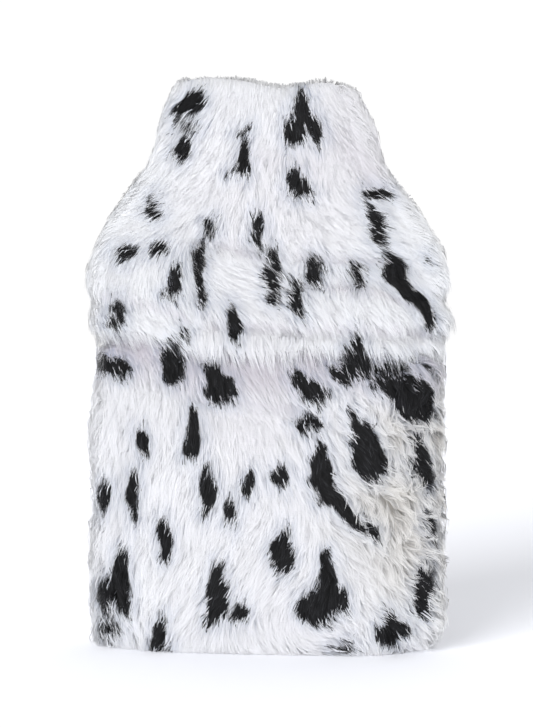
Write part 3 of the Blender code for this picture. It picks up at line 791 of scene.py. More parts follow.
def pile_tree():
    """Geometry nodes that grow the pile on a sheet: fibres in tufts, and tufts in locks."""
    tree = bpy.data.node_groups.new("pile", "GeometryNodeTree")
    tree.interface.new_socket("Sheet", in_out="INPUT", socket_type="NodeSocketGeometry")
    for name, kind, value in PILE_INPUTS:
        made = tree.interface.new_socket(name, in_out="INPUT", socket_type=kind)
        if value is not None:
            made.default_value = value
    tree.interface.new_socket("Pile", in_out="OUTPUT", socket_type="NodeSocketGeometry")
    b = Bench(tree)
    entry = tree.nodes.new("NodeGroupInput").outputs

    scatter = tree.nodes.new("GeometryNodeDistributePointsOnFaces")
    tree.links.new(entry["Sheet"], scatter.inputs["Mesh"])
    height = b.node("ShaderNodeSeparateXYZ", {0: b.node("GeometryNodeInputPosition")}, 2)
    above = b.number("GREATER_THAN", height, entry["Lowest Root"])
    below = b.number("LESS_THAN", height, entry["Highest Root"])
    fullness = b.number("MULTIPLY", b.number("MULTIPLY", above, below), b.named("fullness"))
    density = b.number("MULTIPLY", fullness, entry["Fibres per Square Metre"])
    tree.links.new(density, scatter.inputs["Density"])
    tree.links.new(entry["Seed"], scatter.inputs["Seed"])

    root = b.node("GeometryNodeInputPosition")
    out = b.vector("NORMALIZE", b.named("out", "FLOAT_VECTOR"))
    comb = b.vector("NORMALIZE", b.named("comb", "FLOAT_VECTOR"))

    def cell(size):
        """The middle of the lock or tuft that a fibre belongs to, and its own colour."""
        made = tree.nodes.new("ShaderNodeTexVoronoi")
        tree.links.new(root, made.inputs["Vector"])
        tree.links.new(b.number("DIVIDE", 1.0, size), made.inputs["Scale"])
        to_middle = b.vector("SUBTRACT", made.outputs["Position"], root)
        off = b.vector("DOT_PRODUCT", to_middle, out, output=1)
        flat = b.vector("SUBTRACT", to_middle, b.vector("SCALE", out, off))
        own = tree.nodes.new("ShaderNodeSeparateXYZ")
        tree.links.new(made.outputs["Color"], own.inputs[0])
        return flat, own.outputs

    to_lock, lock = cell(entry["Lock Size"])
    to_tuft, tuft = cell(entry["Tuft Size"])
    to_strand, strand = cell(entry["Strand Size"])

    tousle, clump = b.named("tousle"), b.named("clump")
    turn = b.number("MULTIPLY", b.number("SUBTRACT", lock[0], 0.5), entry["Lock Turn"])
    tuft_turn = b.number("MULTIPLY", b.number("SUBTRACT", tuft[0], 0.5), entry["Tuft Turn"])
    fibre_turn = b.number("MULTIPLY", b.chance(-1.0, 1.0, 11), entry["Fibre Turn"])
    turn = b.number("MULTIPLY_ADD", b.number("ADD", turn, tuft_turn), tousle, fibre_turn)
    way = b.node("ShaderNodeVectorRotate", {"Vector": comb, "Axis": out, "Angle": turn})
    side = b.vector("CROSS_PRODUCT", way, out)

    guards = b.number("MULTIPLY_ADD", clump, *GUARDS_BY_CLUMP)
    guards = b.number("MULTIPLY", guards, entry["Guard Share"])
    guard = b.number("LESS_THAN", b.chance(0.0, 1.0, 21), guards)
    share = b.number("MULTIPLY_ADD", lock[1], *LENGTH_BY_LOCK)
    by_tuft = b.number("MULTIPLY_ADD", tuft[1], *LENGTH_BY_TUFT)
    share = b.number("MULTIPLY", share, by_tuft)
    share = b.number("MULTIPLY", share, b.chance(*LENGTH_BY_CHANCE, 12))
    reach = b.number("MULTIPLY", b.number("MULTIPLY", share, b.named("reach")),
                     entry["Fibre Length"])
    lock_stand = b.number("MULTIPLY", b.number("SUBTRACT", lock[2], 0.5), STAND_BY_LOCK)
    tuft_stand = b.number("MULTIPLY", b.number("SUBTRACT", tuft[2], 0.5), STAND_BY_TUFT)
    varied = b.number("MULTIPLY_ADD", b.number("ADD", lock_stand, tuft_stand), tousle, 1.0)
    stand = b.number("MULTIPLY", varied, entry["Stand"])
    stand = b.number("MULTIPLY", stand, b.chance(*STAND_BY_CHANCE, 13))
    stand = b.number("MULTIPLY", stand, b.number("MULTIPLY_ADD", guard, *STAND_OF_GUARD))
    stand = b.number("MULTIPLY", stand, b.named("reach"))

    pulled = b.vector("ADD", b.vector("SCALE", to_lock, entry["Lock Pull"]),
                      b.vector("SCALE", to_tuft, entry["Tuft Pull"]))
    pulled = b.vector("SCALE", pulled, clump)
    strand_pull = b.number("MULTIPLY_ADD", clump, *STRANDS_BY_CLUMP)
    strand_pull = b.number("MULTIPLY", strand_pull, entry["Strand Pull"])
    pulled = b.vector("ADD", pulled, b.vector("SCALE", to_strand, strand_pull))
    tip = b.vector("ADD", b.vector("SCALE", way, reach), pulled)
    tip = b.vector("ADD", tip, b.vector("SCALE", out, b.number("MULTIPLY", stand, TIP_STANDS)))
    falls = b.number("MULTIPLY", reach, b.named("droop"))
    tip = b.vector("ADD", tip, b.vector("SCALE", (0.0, 0.0, -1.0), falls))
    rise = b.vector("SCALE", out, b.number("MULTIPLY", stand, ROOT_STANDS))
    rise = b.vector("ADD", rise, b.vector("SCALE", way, b.number("MULTIPLY", reach, ROOT_LEANS)))
    bend = b.vector("SUBTRACT", tip, rise)

    roll = b.number("MULTIPLY", b.chance(-1.0, 1.0, 14), b.chance(*ROLL_BY_CHANCE, 15))
    flat_side = b.vector("SCALE", side, b.number("COSINE", roll))
    edge = b.vector("ADD", flat_side, b.vector("SCALE", out, b.number("SINE", roll)))
    wider = b.number("MULTIPLY_ADD", guard, b.number("SUBTRACT", entry["Guard Width"], 1.0), 1.0)
    wide = b.number("MULTIPLY", wider, entry["Fibre Width"])
    wide = b.number("MULTIPLY", b.chance(*WIDTH_BY_CHANCE, 16), wide)
    edge = b.vector("SCALE", edge, wide)

    wave = b.number("MULTIPLY_ADD", tuft[1], *WAVE_BY_TUFT)
    wave = b.number("MULTIPLY", b.named("curl"), wave)
    sway = b.vector("SCALE", side, wave)
    phase = b.number("MULTIPLY_ADD", tuft[2], 6.28, b.chance(-0.5, 0.5, 17))

    feather = b.number("MULTIPLY_ADD", tuft[1], 0.4, strand[0])
    feather = b.number("MULTIPLY", b.number("SUBTRACT", feather, 0.7), entry["Spot Feather"])
    stray = b.number("MULTIPLY", b.chance(-0.8, 0.8, 18), entry["Guard Feather"])
    feather = b.number("MULTIPLY_ADD", guard, stray, feather)

    points = scatter.outputs["Points"]
    for name, value, kind in (
        ("root", root, "FLOAT_VECTOR"),
        ("rise", rise, "FLOAT_VECTOR"),
        ("bend", bend, "FLOAT_VECTOR"),
        ("edge", edge, "FLOAT_VECTOR"),
        ("sway", sway, "FLOAT_VECTOR"),
        ("phase", phase, "FLOAT"),
        ("feather", b.vector("SCALE", way, feather), "FLOAT_VECTOR"),
        ("shade", b.number("MULTIPLY_ADD", strand[1], 0.6, b.chance(0.0, 0.4, 19)), "FLOAT"),
        # depth marks clumped fibres; the fibre material darkens their lower parts with it as
        # painted shade.
        ("depth", b.number("MULTIPLY", clump, b.number("SUBTRACT", 1.0, guard)), "FLOAT"),
    ):
        points = b.store(points, name, value, kind)

    strip = tree.nodes.new("GeometryNodeMeshGrid")
    strip.inputs["Vertices X"].default_value = 2
    tree.links.new(entry["Fibre Rows"], strip.inputs["Vertices Y"])
    spot = b.node("ShaderNodeSeparateXYZ", {0: b.node("GeometryNodeInputPosition")}, 0)
    rise_along = b.node("ShaderNodeSeparateXYZ", {0: b.node("GeometryNodeInputPosition")}, 1)
    blade = b.store(strip.outputs["Mesh"], "across", spot)
    blade = b.store(blade, "along", b.number("ADD", rise_along, 0.5))
    blade = b.node("GeometryNodeSetShadeSmooth", {"Geometry": blade})
    planted = b.node("GeometryNodeInstanceOnPoints", {"Points": points, "Instance": blade})
    real = b.node("GeometryNodeRealizeInstances", {"Geometry": planted})

    t = b.named("along")
    t2 = b.number("MULTIPLY", t, t)
    taper = b.number("MULTIPLY", b.number("POWER", t, TAPER_POWER), TAPER)
    taper = b.number("SUBTRACT", 1.0, taper)
    place = b.vector("ADD", b.named("root", "FLOAT_VECTOR"),
                     b.vector("SCALE", b.named("rise", "FLOAT_VECTOR"), t))
    place = b.vector("ADD", place, b.vector("SCALE", b.named("bend", "FLOAT_VECTOR"), t2))
    curve = b.number("SINE", b.number("MULTIPLY_ADD", t, WAVE_TURNS, b.named("phase")))
    place = b.vector("ADD", place, b.vector("SCALE", b.named("sway", "FLOAT_VECTOR"),
                                            b.number("MULTIPLY", curve, t)))
    warp = b.node("ShaderNodeTexNoise", {"Vector": place, "Scale": entry["Warp Scale"],
                                         "Detail": 1.0}, 1)
    warp = b.vector("SCALE", b.vector("SUBTRACT", warp, (0.5, 0.5, 0.5)), entry["Spot Warp"])
    warp = b.vector("ADD", warp, b.named("feather", "FLOAT_VECTOR"))
    real = b.store(real, "warp", warp, "FLOAT_VECTOR")
    wide = b.number("MULTIPLY", b.named("across"), taper)
    place = b.vector("ADD", place, b.vector("SCALE", b.named("edge", "FLOAT_VECTOR"), wide))
    place = b.vector("MAXIMUM", place, (-9.0, -9.0, LOWEST_FIBRE))
    moved = b.node("GeometryNodeSetPosition", {"Geometry": real, "Position": place})
    crisp = b.number("MULTIPLY_ADD", b.named("clump"), *CRISP_BY_CLUMP)
    crisp = b.number("MULTIPLY_ADD", b.named("curl"), CRISP_BY_CURL, crisp)
    own = b.vector("SCALE", b.node("GeometryNodeInputNormal"), crisp)
    soft = b.vector("NORMALIZE", b.vector("ADD", own, b.named("out", "FLOAT_VECTOR")))
    moved = b.node("GeometryNodeSetMeshNormal", {"Mesh": moved, "Custom Normal": soft}, mode="FREE")
    done = b.node("GeometryNodeSetMaterial", {"Geometry": moved, "Material": entry["Fibre"]})
    tree.links.new(done, tree.nodes.new("NodeGroupOutput").inputs["Pile"])
    return tree


PILE_TREE = pile_tree()
WORKING_ATTRIBUTES = ("root", "rise", "bend", "edge", "sway", "phase", "feather", "warp", "across",
                      "comb", "out", "ink", "reach", "tousle", "clump", "curl", "droop", "fullness")


CREASE_WARP = 0.3


def grow_pile(name, sheet, material, ink, **values):
    """The pile of one band of a sheet, as a plain mesh of fibres."""
    grower = sheet.modifiers.new("pile", "NODES")
    grower.node_group = PILE_TREE
    for item in PILE_TREE.interface.items_tree:
        key = item.name.lower().replace(" ", "_")
        if item.in_out == "INPUT" and key in values:
            grower[item.identifier] = values[key]
        if item.name == "Fibre" and item.in_out == "INPUT":
            grower[item.identifier] = material
    seen = sheet.evaluated_get(bpy.context.evaluated_depsgraph_get())
    mesh = bpy.data.meshes.new_from_object(seen)
    sheet.modifiers.remove(grower)
    mesh.name = name
    points = np.empty((len(mesh.vertices), 3), np.float32)
    warp = np.empty_like(points)
    mesh.vertices.foreach_get("co", points.ravel())
    mesh.attributes["warp"].data.foreach_get("vector", warp.ravel())
    inked = np.float32(ink(points + warp))
    mesh.attributes.new("inked", "FLOAT", "POINT").data.foreach_set("value", inked)
    creased = np.float32(crease_at(points + CREASE_WARP * warp) * (points[:, 1] < 0.0))
    mesh.attributes.new("creased", "FLOAT", "POINT").data.foreach_set("value", creased)
    for left in WORKING_ATTRIBUTES:
        if left in mesh.attributes:
            mesh.attributes.remove(mesh.attributes[left])
    corners = np.empty(len(mesh.loops), np.int32)
    mesh.loops.foreach_get("vertex_index", corners)
    flat = points[:, (0, 2)] - points[:, (0, 2)].min(axis=0)
    mesh.uv_layers.new(name="OFBake").uv.foreach_set("vector", (flat / flat.max())[corners].ravel())
    pile = bpy.data.objects.new(name, mesh)
    bpy.context.scene.collection.objects.link(pile)
    return pile


def grow_piles(name, sheet, ink, cuts, seed, **values):
    """The whole pile of a sheet, in bands from the base up."""
    levels = (-1.0, *cuts, 1.0)
    bands = enumerate(zip(levels, levels[1:]), start=1)
    return [grow_pile(f"{name}_{number}", sheet, FIBRE, ink, lowest_root=low, highest_root=high,
                      seed=seed + number, **values) for number, (low, high) in bands]


# Colours of the fibre. Several stand in for light: the darker root, the lilac-grey, the dark cream
# root and the dimmed colour are painted shade in the depth, in hollows and between tufts; the
# shaded colour is painted shade in creases and under the hem; the grey is a painted sheen on black
# fibres.
FIBRE_WHITE = (0.959, 0.970, 0.982, 1.0)
FIBRE_ROOT_SHADE = (0.942, 0.944, 0.962, 1.0)
FIBRE_CREAM = (0.970, 0.960, 0.935, 1.0)
FIBRE_CREAM_ROOT_SHADE = (0.450, 0.420, 0.380, 1.0)
FIBRE_SHADED = (0.800, 0.775, 0.815, 1.0)
FIBRE_LILAC_TONE_AND_SHADE = (0.900, 0.890, 0.910, 1.0)
FIBRE_BLACK = (0.003, 0.003, 0.004, 1.0)
FIBRE_BLACK_SHEEN = (0.110, 0.112, 0.125, 1.0)
FIBRE_HAZY = (0.440, 0.510, 0.660, 1.0)
FIBRE_DEPTH_SHADE = (0.500, 0.500, 0.520, 1.0)
FIBRE_BROWN = (0.070, 0.050, 0.040, 1.0)
LIGHT_THROUGH_PILE = 0.7
DEPTH_SHADE_BY_CREAM = (0.22, 0.12)
INK_SHARPNESS = 1800.0
HAZE = 0.60
HAZE_FADES = 0.9
SHEEN_POWER = 3.0
ROUGHNESS = (0.2, 0.55)


def fibre_material(name, from_attribute):
    """Glossy soft fibre: white, or dyed black where a spot is, with a brownish edge. Shade is
    painted into the colour at the roots, in lilac-grey and creamy hollows, in creases, under the
    hem and between tufts, and a painted sheen greys the black fibres toward their tips.
    """
    material = bpy.data.materials.new(name)
    material.use_nodes = True
    tree = material.node_tree
    shader = tree.nodes["Principled BSDF"]
    b = Bench(tree)

    def attribute(key):
        made = tree.nodes.new("ShaderNodeAttribute")
        made.attribute_name = key
        return made.outputs["Fac"]

    def mix(factor, first, second):
        made = tree.nodes.new("ShaderNodeMix")
        made.data_type = "RGBA"
        for key, value in (("Factor", factor), (6, first), (7, second)):
            socket_of(tree, value, made.inputs[key])
        return made.outputs[2]

    # Lilac-grey tone: painted shade in the hollows of the near side, a random tint on the far side.
    white = mix(attribute("lilac"), FIBRE_WHITE, FIBRE_LILAC_TONE_AND_SHADE)
    # Slightly darker, bluer roots: a faint painted shade in the depth of the pile.
    white = mix(attribute("along"), FIBRE_ROOT_SHADE, white)
    # Creamy pile with dark roots: the cream tint, with painted shade in the depth between the
    # curls.
    cream = mix(attribute("along"), FIBRE_CREAM_ROOT_SHADE, FIBRE_CREAM)
    white = mix(attribute("cream"), white, cream)
    white = mix(b.number("MAXIMUM", attribute("shaded"), attribute("creased")), white, FIBRE_SHADED)
    # Clumped fibres darkened toward their roots, more so in creamy pile: painted shade between
    # tufts.
    depth_shade = b.number("MULTIPLY", attribute("depth"), b.number("SUBTRACT", 1.3, attribute("along")))
    much = b.number("MULTIPLY_ADD", attribute("cream"), *DEPTH_SHADE_BY_CREAM)
    white = mix(b.number("MULTIPLY", depth_shade, much, clamp=True), white, FIBRE_DEPTH_SHADE)
    inside = attribute(from_attribute)
    inked = b.number("MULTIPLY_ADD", inside, INK_SHARPNESS, 0.5, clamp=True)
    near = b.number("MULTIPLY_ADD", inside, 1.0 / INK_HAZE, 1.0, clamp=True)
    low_down = b.number("MULTIPLY_ADD", attribute("along"), -HAZE_FADES, 1.0)
    near = b.number("MULTIPLY", b.number("MULTIPLY", near, low_down), HAZE)
    white = mix(near, white, FIBRE_HAZY)
    # Black fibres turn grey toward their tips: a painted sheen.
    painted_sheen = b.number("MULTIPLY", attribute("shade"), attribute("along"))
    black = mix(b.number("POWER", painted_sheen, SHEEN_POWER), FIBRE_BLACK, FIBRE_BLACK_SHEEN)
    dyed = mix(inked, FIBRE_BROWN, black)
    colour = mix(inked, white, dyed)
    tree.links.new(colour, shader.inputs["Base Color"])
    rough = b.number("MULTIPLY_ADD", attribute("shade"), *ROUGHNESS)
    tree.links.new(rough, shader.inputs["Roughness"])
    # A fibre seen from behind keeps the normal of the side that faces the camera.
    facing = tree.nodes.new("ShaderNodeNewGeometry")
    path = tree.nodes.new("ShaderNodeLightPath")
    turned = b.number("MULTIPLY", facing.outputs["Backfacing"], path.outputs["Is Camera Ray"])
    same_way = b.number("MULTIPLY_ADD", turned, -2.0, 1.0)
    tree.links.new(b.vector("SCALE", facing.outputs["Normal"], same_way), shader.inputs["Normal"])
    shader.inputs["Specular IOR Level"].default_value = 0.25
    shader.inputs["Sheen Weight"].default_value = 0.30
    shader.inputs["Sheen Roughness"].default_value = 0.45
    # Only the pile lets light through to what lies under it; the undercoat is left opaque.
    if from_attribute != "inked":
        return material
    clear = tree.nodes.new("ShaderNodeBsdfTransparent")
    blend = tree.nodes.new("ShaderNodeMixShader")
    passed = b.number("MULTIPLY", path.outputs["Is Shadow Ray"], LIGHT_THROUGH_PILE)
    for socket, value in zip(blend.inputs, (passed, shader.outputs[0], clear.outputs[0])):
        tree.links.new(value, socket)
    tree.links.new(blend.outputs[0], tree.nodes["Material Output"].inputs["Surface"])
    return material


FIBRE = fibre_material("pile_fibre", "inked")
UNDERCOAT = fibre_material("undercoat", "ink")


STITCH_ACROSS = 262.0
STITCH_UP = 330.0
STITCH_DEEP = 0.0002
# The hollow colour is painted shade between the stitches.
BACKING_HOLLOW_SHADE = (0.700, 0.700, 0.725, 1.0)
BACKING_YARN = (0.860, 0.860, 0.875, 1.0)


def backing_material():
    """White knitted backing, with small stitches in columns and rows; the hollows between stitches
    are painted darker as shade.
    """
    material = bpy.data.materials.new("knitted_backing")
    material.use_nodes = True
    tree = material.node_tree
    shader = tree.nodes["Principled BSDF"]
    b = Bench(tree)
    place = b.node("ShaderNodeTexCoord", output="Object")
    columns = b.node("ShaderNodeTexWave", {"Vector": place, "Scale": STITCH_ACROSS}, 1,
                     bands_direction="X")
    rows = b.node("ShaderNodeTexWave", {"Vector": place, "Scale": STITCH_UP}, 1,
                  bands_direction="Z")
    stitch = b.number("MULTIPLY", columns, rows)
    # The hollows between stitches are painted darker: painted shade.
    yarn = b.node("ShaderNodeMix", {"Factor": stitch, 6: BACKING_HOLLOW_SHADE, 7: BACKING_YARN}, 2,
                  data_type="RGBA")
    relief = b.node("ShaderNodeBump", {"Height": stitch, "Distance": STITCH_DEEP})
    tree.links.new(yarn, shader.inputs["Base Color"])
    tree.links.new(relief, shader.inputs["Normal"])
    shader.inputs["Roughness"].default_value = 0.9
    return material


BACKING = backing_material()
CURL = 0.0020


def dress_sheet(name, outer, inner, comb, normal, ink, manner, fullness, droop=0.0, shaded=0.0):
    """A panel's sheet as an object, with what its pile needs to know."""
    reach, tousle, clump, curl, cream, lilac = manner
    mesh = sheet_mesh(name, outer, inner)
    if not turned_out(mesh):
        mesh.flip_normals()
    for key, values in (("out", normal), ("comb", comb), ("ink", ink), ("reach", reach),
                        ("tousle", tousle), ("clump", clump), ("curl", curl * CURL),
                        ("cream", cream), ("lilac", lilac), ("fullness", fullness),
                        ("droop", droop + 0.0 * ink), ("shaded", shaded + 0.0 * ink)):
        put_attribute(mesh, key, values, -1.0 if key == "ink" else 0.0)
    mesh.materials.append(UNDERCOAT)
    mesh.materials.append(BACKING)
    sheet = bpy.data.objects.new(name, mesh)
    bpy.context.scene.collection.objects.link(sheet)
    return sheet


SEEN_FROM_FRONT = (0.012, 0.024)
RIM_SHORTENS = (0.330, 0.350)
RIM_SHORTER = 0.30
RIM_DENSER = 1.5
RIM_DROOP = 1.1
FACES_UP = (0.1, 0.7)
PILE_BACK = rings(PILE_SECTIONS, BACK_FULLNESS)
PILE_FRONT = rings(PILE_SECTIONS)
CLOTH = rings(CLOTH_SECTIONS)
BACK_SPOTS = scattered_spots("back", 300.0, 360.0)
ROUND_THE_SIDE = 1.1
PATCH_SCALE = 0.05
PATCH_LAYER = 12.0

# The least of each part of the far side's manner, from length to lilac tone, and how much more it
# gets in patches; here the lilac-grey tone falls in random patches, not in the hollows.
BACK_MANNER = ((1.0, 0.0), (0.2, 0.4), (0.3, 0.4), (0.0, 0.2), (0.0, 0.0), (0.0, 0.6))


def back_ink(points):
    """The spots of the far side, and at its edges those of the near side."""
    far = ink_at(BACK_SPOTS, points[..., 0] * ROUND_THE_SIDE, points[..., 2], ())
    return np.where(points[..., 1] < sum(SEEN_FROM_FRONT) / 2, front_ink(points), far)


heights = even_rows(UNDERCOAT_TOP, UNDERCOAT_FLOOR)
outer = undercoat_grid(PILE_BACK, heights, BACK, BACK_FOLDS, BACK_LAYER)
inner = backing_grid(CLOTH, even_rows(BACKING_TOP, CLOTH_SECTIONS[0].height), BACK)
outer = np.concatenate((rolled_rows(outer[0], inner[0], RIM_BULGE)[::-1], outer))
inner = fitted_rows(inner, len(outer))
outer = np.concatenate((outer, foot_grid(outer[-1], BACK)))
inner = np.concatenate((inner, foot_grid(inner[-1], BACK)))
normal = outward(outer, BACK)
seen = 1.0 - smooth(*SEEN_FROM_FRONT, outer[..., 1])
comb = brushed_plainly(outer, normal, BACK_LAYER) * (1.0 - seen[..., None])
comb += brushed(outer, normal, FRONT_BRUSHING) * seen[..., None]
comb = fall_outwards(comb, normal, BACK)
patchy = 0.5 + 0.5 * drift(outer.reshape(-1, 3), PATCH_SCALE, PATCH_LAYER).reshape(seen.shape)
manner = np.stack([least + more * patchy for least, more in BACK_MANNER])
manner = manner * (1.0 - seen) + manner_at(outer, FRONT_MANNERS) * seen
manner[0] *= 1.0 - RIM_SHORTER * smooth(*RIM_SHORTENS, outer[..., 2])
rim = smooth(*FACES_UP, normal[..., 2]) * (outer[..., 2] > RIM_BLEND_FROM)
back_sheet = dress_sheet("back_panel_cloth", outer, inner, comb, normal, back_ink(outer), manner,
                         1.0 + RIM_DENSER * rim, RIM_DROOP * rim)
back_piles = grow_piles("back_panel_pile", back_sheet, back_ink, (0.17,), 4, fibre_rows=3,
                        fibres_per_square_metre=4.2e5, fibre_width=0.00056)
# The cut piece isn't a rectangle: it narrows at the shoulders to the collar.
for piece in [back_sheet, *back_piles]:
    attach(piece, "root")
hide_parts("back_panel")


# ---------------------------------------------------------------------------------------------
# Front pocket. The near side's lower half, of the same fur fabric. Its top edge is tucked
# under the flap, where the pile is pressed flat.
# ---------------------------------------------------------------------------------------------

FLAP_HEM = (
    Edge(-0.110, 0.192),
    Edge(-0.070, 0.190),
    Edge(-0.045, 0.184),
    Edge(0.000, 0.180),
    Edge(0.045, 0.184),
    Edge(0.070, 0.181),
    Edge(0.110, 0.184),
)
POCKET_TOP = 0.2280
PRESSED_IN_FRONT = 0.0080
PRESSED_IN_FRONT_TO = 0.0550
PRESSED_AT_SEAM = 0.0020
PRESSED_AT_SEAM_FROM = 0.0880
PRESSED_BELOW_HEM = 0.0080
PRESSED_ABOVE_HEM = 0.0040
POCKET_FOLDS = (
    Fold(-0.083, 0.167, -0.040, 0.158, 0.0034, 0.0085),
    Fold(-0.040, 0.158, 0.016, 0.149, 0.0036, 0.0085),
    Fold(0.020, 0.148, 0.062, 0.108, 0.0022, 0.0090),
)
POCKET_LAYER = 6.0
HEM_SHADES = (0.006, 0.022)
PRESSED_LIFT = 0.6
PILE_ENDS = (0.190, 0.200)
PILE_SHORTENS = (0.166, 0.188)
PILE_SHORTER = 0.55


def pressed_depth(x):
    """Thickness of the pocket under the flap: thin at the side seams, full in front."""
    toward_seam = smooth(PRESSED_IN_FRONT_TO, PRESSED_AT_SEAM_FROM, np.abs(x))
    return PRESSED_IN_FRONT + (PRESSED_AT_SEAM - PRESSED_IN_FRONT) * toward_seam


heights = even_rows(POCKET_TOP, UNDERCOAT_FLOOR)
free = undercoat_grid(PILE_FRONT, heights, FRONT, POCKET_FOLDS, POCKET_LAYER)
lift = pressed_depth(ring_at(CLOTH, heights, FRONT)[..., 0]) * PRESSED_LIFT
pressed_cloth = backing_grid(CLOTH, heights, FRONT, lift)
hem = through(FLAP_HEM, pressed_cloth[..., 0])[..., 0]
pressed = smooth(hem - PRESSED_BELOW_HEM, hem + PRESSED_ABOVE_HEM, heights)[..., None]
outer = free * (1.0 - pressed) + pressed_cloth * pressed
outer = np.concatenate((outer, foot_grid(outer[-1], FRONT)))
inner = fitted_rows(backing_grid(CLOTH, even_rows(POCKET_TOP, CLOTH_SECTIONS[0].height), FRONT),
                    len(heights))
inner = np.concatenate((inner, foot_grid(inner[-1], FRONT)))
normal = outward(outer, FRONT)
comb = brushed(outer, normal, FRONT_BRUSHING)
top = outer[..., 2]
fullness = 1.0 - smooth(*PILE_ENDS, top)
manner = manner_at(outer, FRONT_MANNERS)
manner[0] *= 1.0 - PILE_SHORTER * smooth(*PILE_SHORTENS, top)
hem_above = through(FLAP_HEM, outer[..., 0])[..., 0] - top
shaded = 1.0 - smooth(*HEM_SHADES, hem_above)
pocket_sheet = dress_sheet("front_pocket_cloth", outer, inner, comb, normal, front_ink(outer),
                           manner, fullness, shaded=shaded)
pocket_piles = grow_piles("front_pocket_pile", pocket_sheet, front_ink, (0.055, 0.115), 7,
                          fibres_per_square_metre=1.54e6)
for piece in [pocket_sheet, *pocket_piles]:
    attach(piece, "root")
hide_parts("front_pocket")


# ---------------------------------------------------------------------------------------------
# Front flap. The near side of the collar and both shoulders in one piece of fur fabric, down
# to a hem whose pile hangs over the pocket.
# ---------------------------------------------------------------------------------------------

HEM_CLOTH_UP = 0.010
HEM_BULGE = 0.0030
HEM_SHORTER = 0.3
HEM_FACES_UP = 0.15
FLAP_STAND = 0.0095
FLAP_STAND_REACH = 0.075
STAND_WHOLE_TO = 0.070
STAND_LEAST_FROM = 0.105
STAND_AT_SIDES = 0.25
LAYER_GAP = 0.0022
FLAP_LEAVES_POCKET = 0.2400
FLAP_ON_BOTTLE = 0.2700
FLAP_FOLDS = (
    Fold(-0.036, 0.203, 0.020, 0.198, 0.0050, 0.0050),
    Fold(0.020, 0.198, 0.106, 0.197, 0.0050, 0.0050),
    Fold(0.022, 0.226, 0.060, 0.229, 0.0050, 0.0060),
    Fold(0.060, 0.229, 0.102, 0.220, 0.0040, 0.0065),
    Fold(-0.040, 0.252, 0.000, 0.249, 0.0045, 0.0055),
    Fold(0.024, 0.243, 0.090, 0.241, 0.0050, 0.0060),
    Fold(-0.102, 0.219, -0.050, 0.205, 0.0020, 0.0060),
    Fold(-0.040, 0.252, -0.038, 0.212, 0.0045, 0.0050),
)
FLAP_LAYER = 9.0

base = ring_at(PILE_FRONT, np.full((1, COLUMNS + 1), FLAP_HEM[0].height), FRONT)[0]
hem = through(FLAP_HEM, base[:, 0])[:, 0] + HEM_CLOTH_UP
heights = even_rows(UNDERCOAT_TOP, hem)
ring_x = ring_at(PILE_FRONT, heights, FRONT)[..., 0]
in_front = 1.0 - smooth(STAND_WHOLE_TO, STAND_LEAST_FROM, np.abs(ring_x))
near_hem = 1.0 - smooth(hem, hem + FLAP_STAND_REACH, heights)
stand = FLAP_STAND * near_hem * (STAND_AT_SIDES + (1.0 - STAND_AT_SIDES) * in_front)
outer = undercoat_grid(PILE_FRONT, heights, FRONT, FLAP_FOLDS, FLAP_LAYER, stand=stand)
cloth_heights = even_rows(BACKING_TOP, hem)
cloth_x = ring_at(CLOTH, cloth_heights, FRONT)[..., 0]
on_bottle = smooth(FLAP_LEAVES_POCKET, FLAP_ON_BOTTLE, cloth_heights)
lift = (pressed_depth(cloth_x) + LAYER_GAP) * (1.0 - on_bottle)
inner = backing_grid(CLOTH, cloth_heights, FRONT, lift)
rim_rows = rolled_rows(outer[0], inner[0], RIM_BULGE)[::-1]
hem_rows = rolled_rows(outer[-1], inner[-1], -HEM_BULGE)
outer = np.concatenate((rim_rows, outer, hem_rows))
inner = fitted_rows(inner, len(outer))
normal = outward(outer, FRONT)
comb = fall_outwards(brushed(outer, normal, FRONT_BRUSHING), normal, FRONT)
manner = manner_at(outer, FRONT_MANNERS)
manner[0] *= 1.0 - RIM_SHORTER * smooth(*RIM_SHORTENS, outer[..., 2])
rim = smooth(*FACES_UP, normal[..., 2]) * (outer[..., 2] > RIM_BLEND_FROM)
lowest_rows = (np.arange(len(outer)) >= len(outer) - ROLL_ROWS)[:, None]
under_hem = smooth(*FACES_UP, -normal[..., 2]) * lowest_rows
manner[0] *= 1.0 - HEM_SHORTER * under_hem
normal[..., 2] = np.maximum(normal[..., 2], HEM_FACES_UP)
normal /= np.linalg.norm(normal, axis=-1, keepdims=True)
flap_sheet = dress_sheet("front_flap_cloth", outer, inner, comb, normal, front_ink(outer), manner,
                         1.0 + RIM_DENSER * rim, RIM_DROOP * (rim + under_hem))
flap_piles = grow_piles("front_flap_pile", flap_sheet, front_ink, (0.25,), 10, fibre_rows=3,
                        fibres_per_square_metre=1.84e6)
# The cut piece narrows to the collar, as the back panel does.
for piece in [flap_sheet, *flap_piles]:
    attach(piece, "root")
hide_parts("front_flap")


# ---------------------------------------------------------------------------------------------
# Studio. A white floor, white light from all round, one large soft light from the front, a light
# for the floor alone, and the camera.
# ---------------------------------------------------------------------------------------------

FLOOR_SIZE = 8.0
FLOOR_WHITE = (0.67, 0.68, 0.72, 1.0)
FLOOR_GLOW = 0.08
floor_mesh = bpy.data.meshes.new("floor")
half = FLOOR_SIZE / 2
floor_mesh.from_pydata([(-half, -half, 0), (half, -half, 0), (half, half, 0), (-half, half, 0)],
                       [], [(0, 1, 2, 3)])
floor = bpy.data.objects.new("floor", floor_mesh)
bpy.context.scene.collection.objects.link(floor)
floor_material = bpy.data.materials.new("floor_white")
floor_material.use_nodes = True
floor_shader = floor_material.node_tree.nodes["Principled BSDF"]
floor_shader.inputs["Base Color"].default_value = FLOOR_WHITE
floor_shader.inputs["Roughness"].default_value = 0.9
floor_shader.inputs["Specular IOR Level"].default_value = 0.1
floor_shader.inputs["Emission Color"].default_value = (1.0, 1.0, 1.0, 1.0)
floor_shader.inputs["Emission Strength"].default_value = FLOOR_GLOW
floor_mesh.materials.append(floor_material)

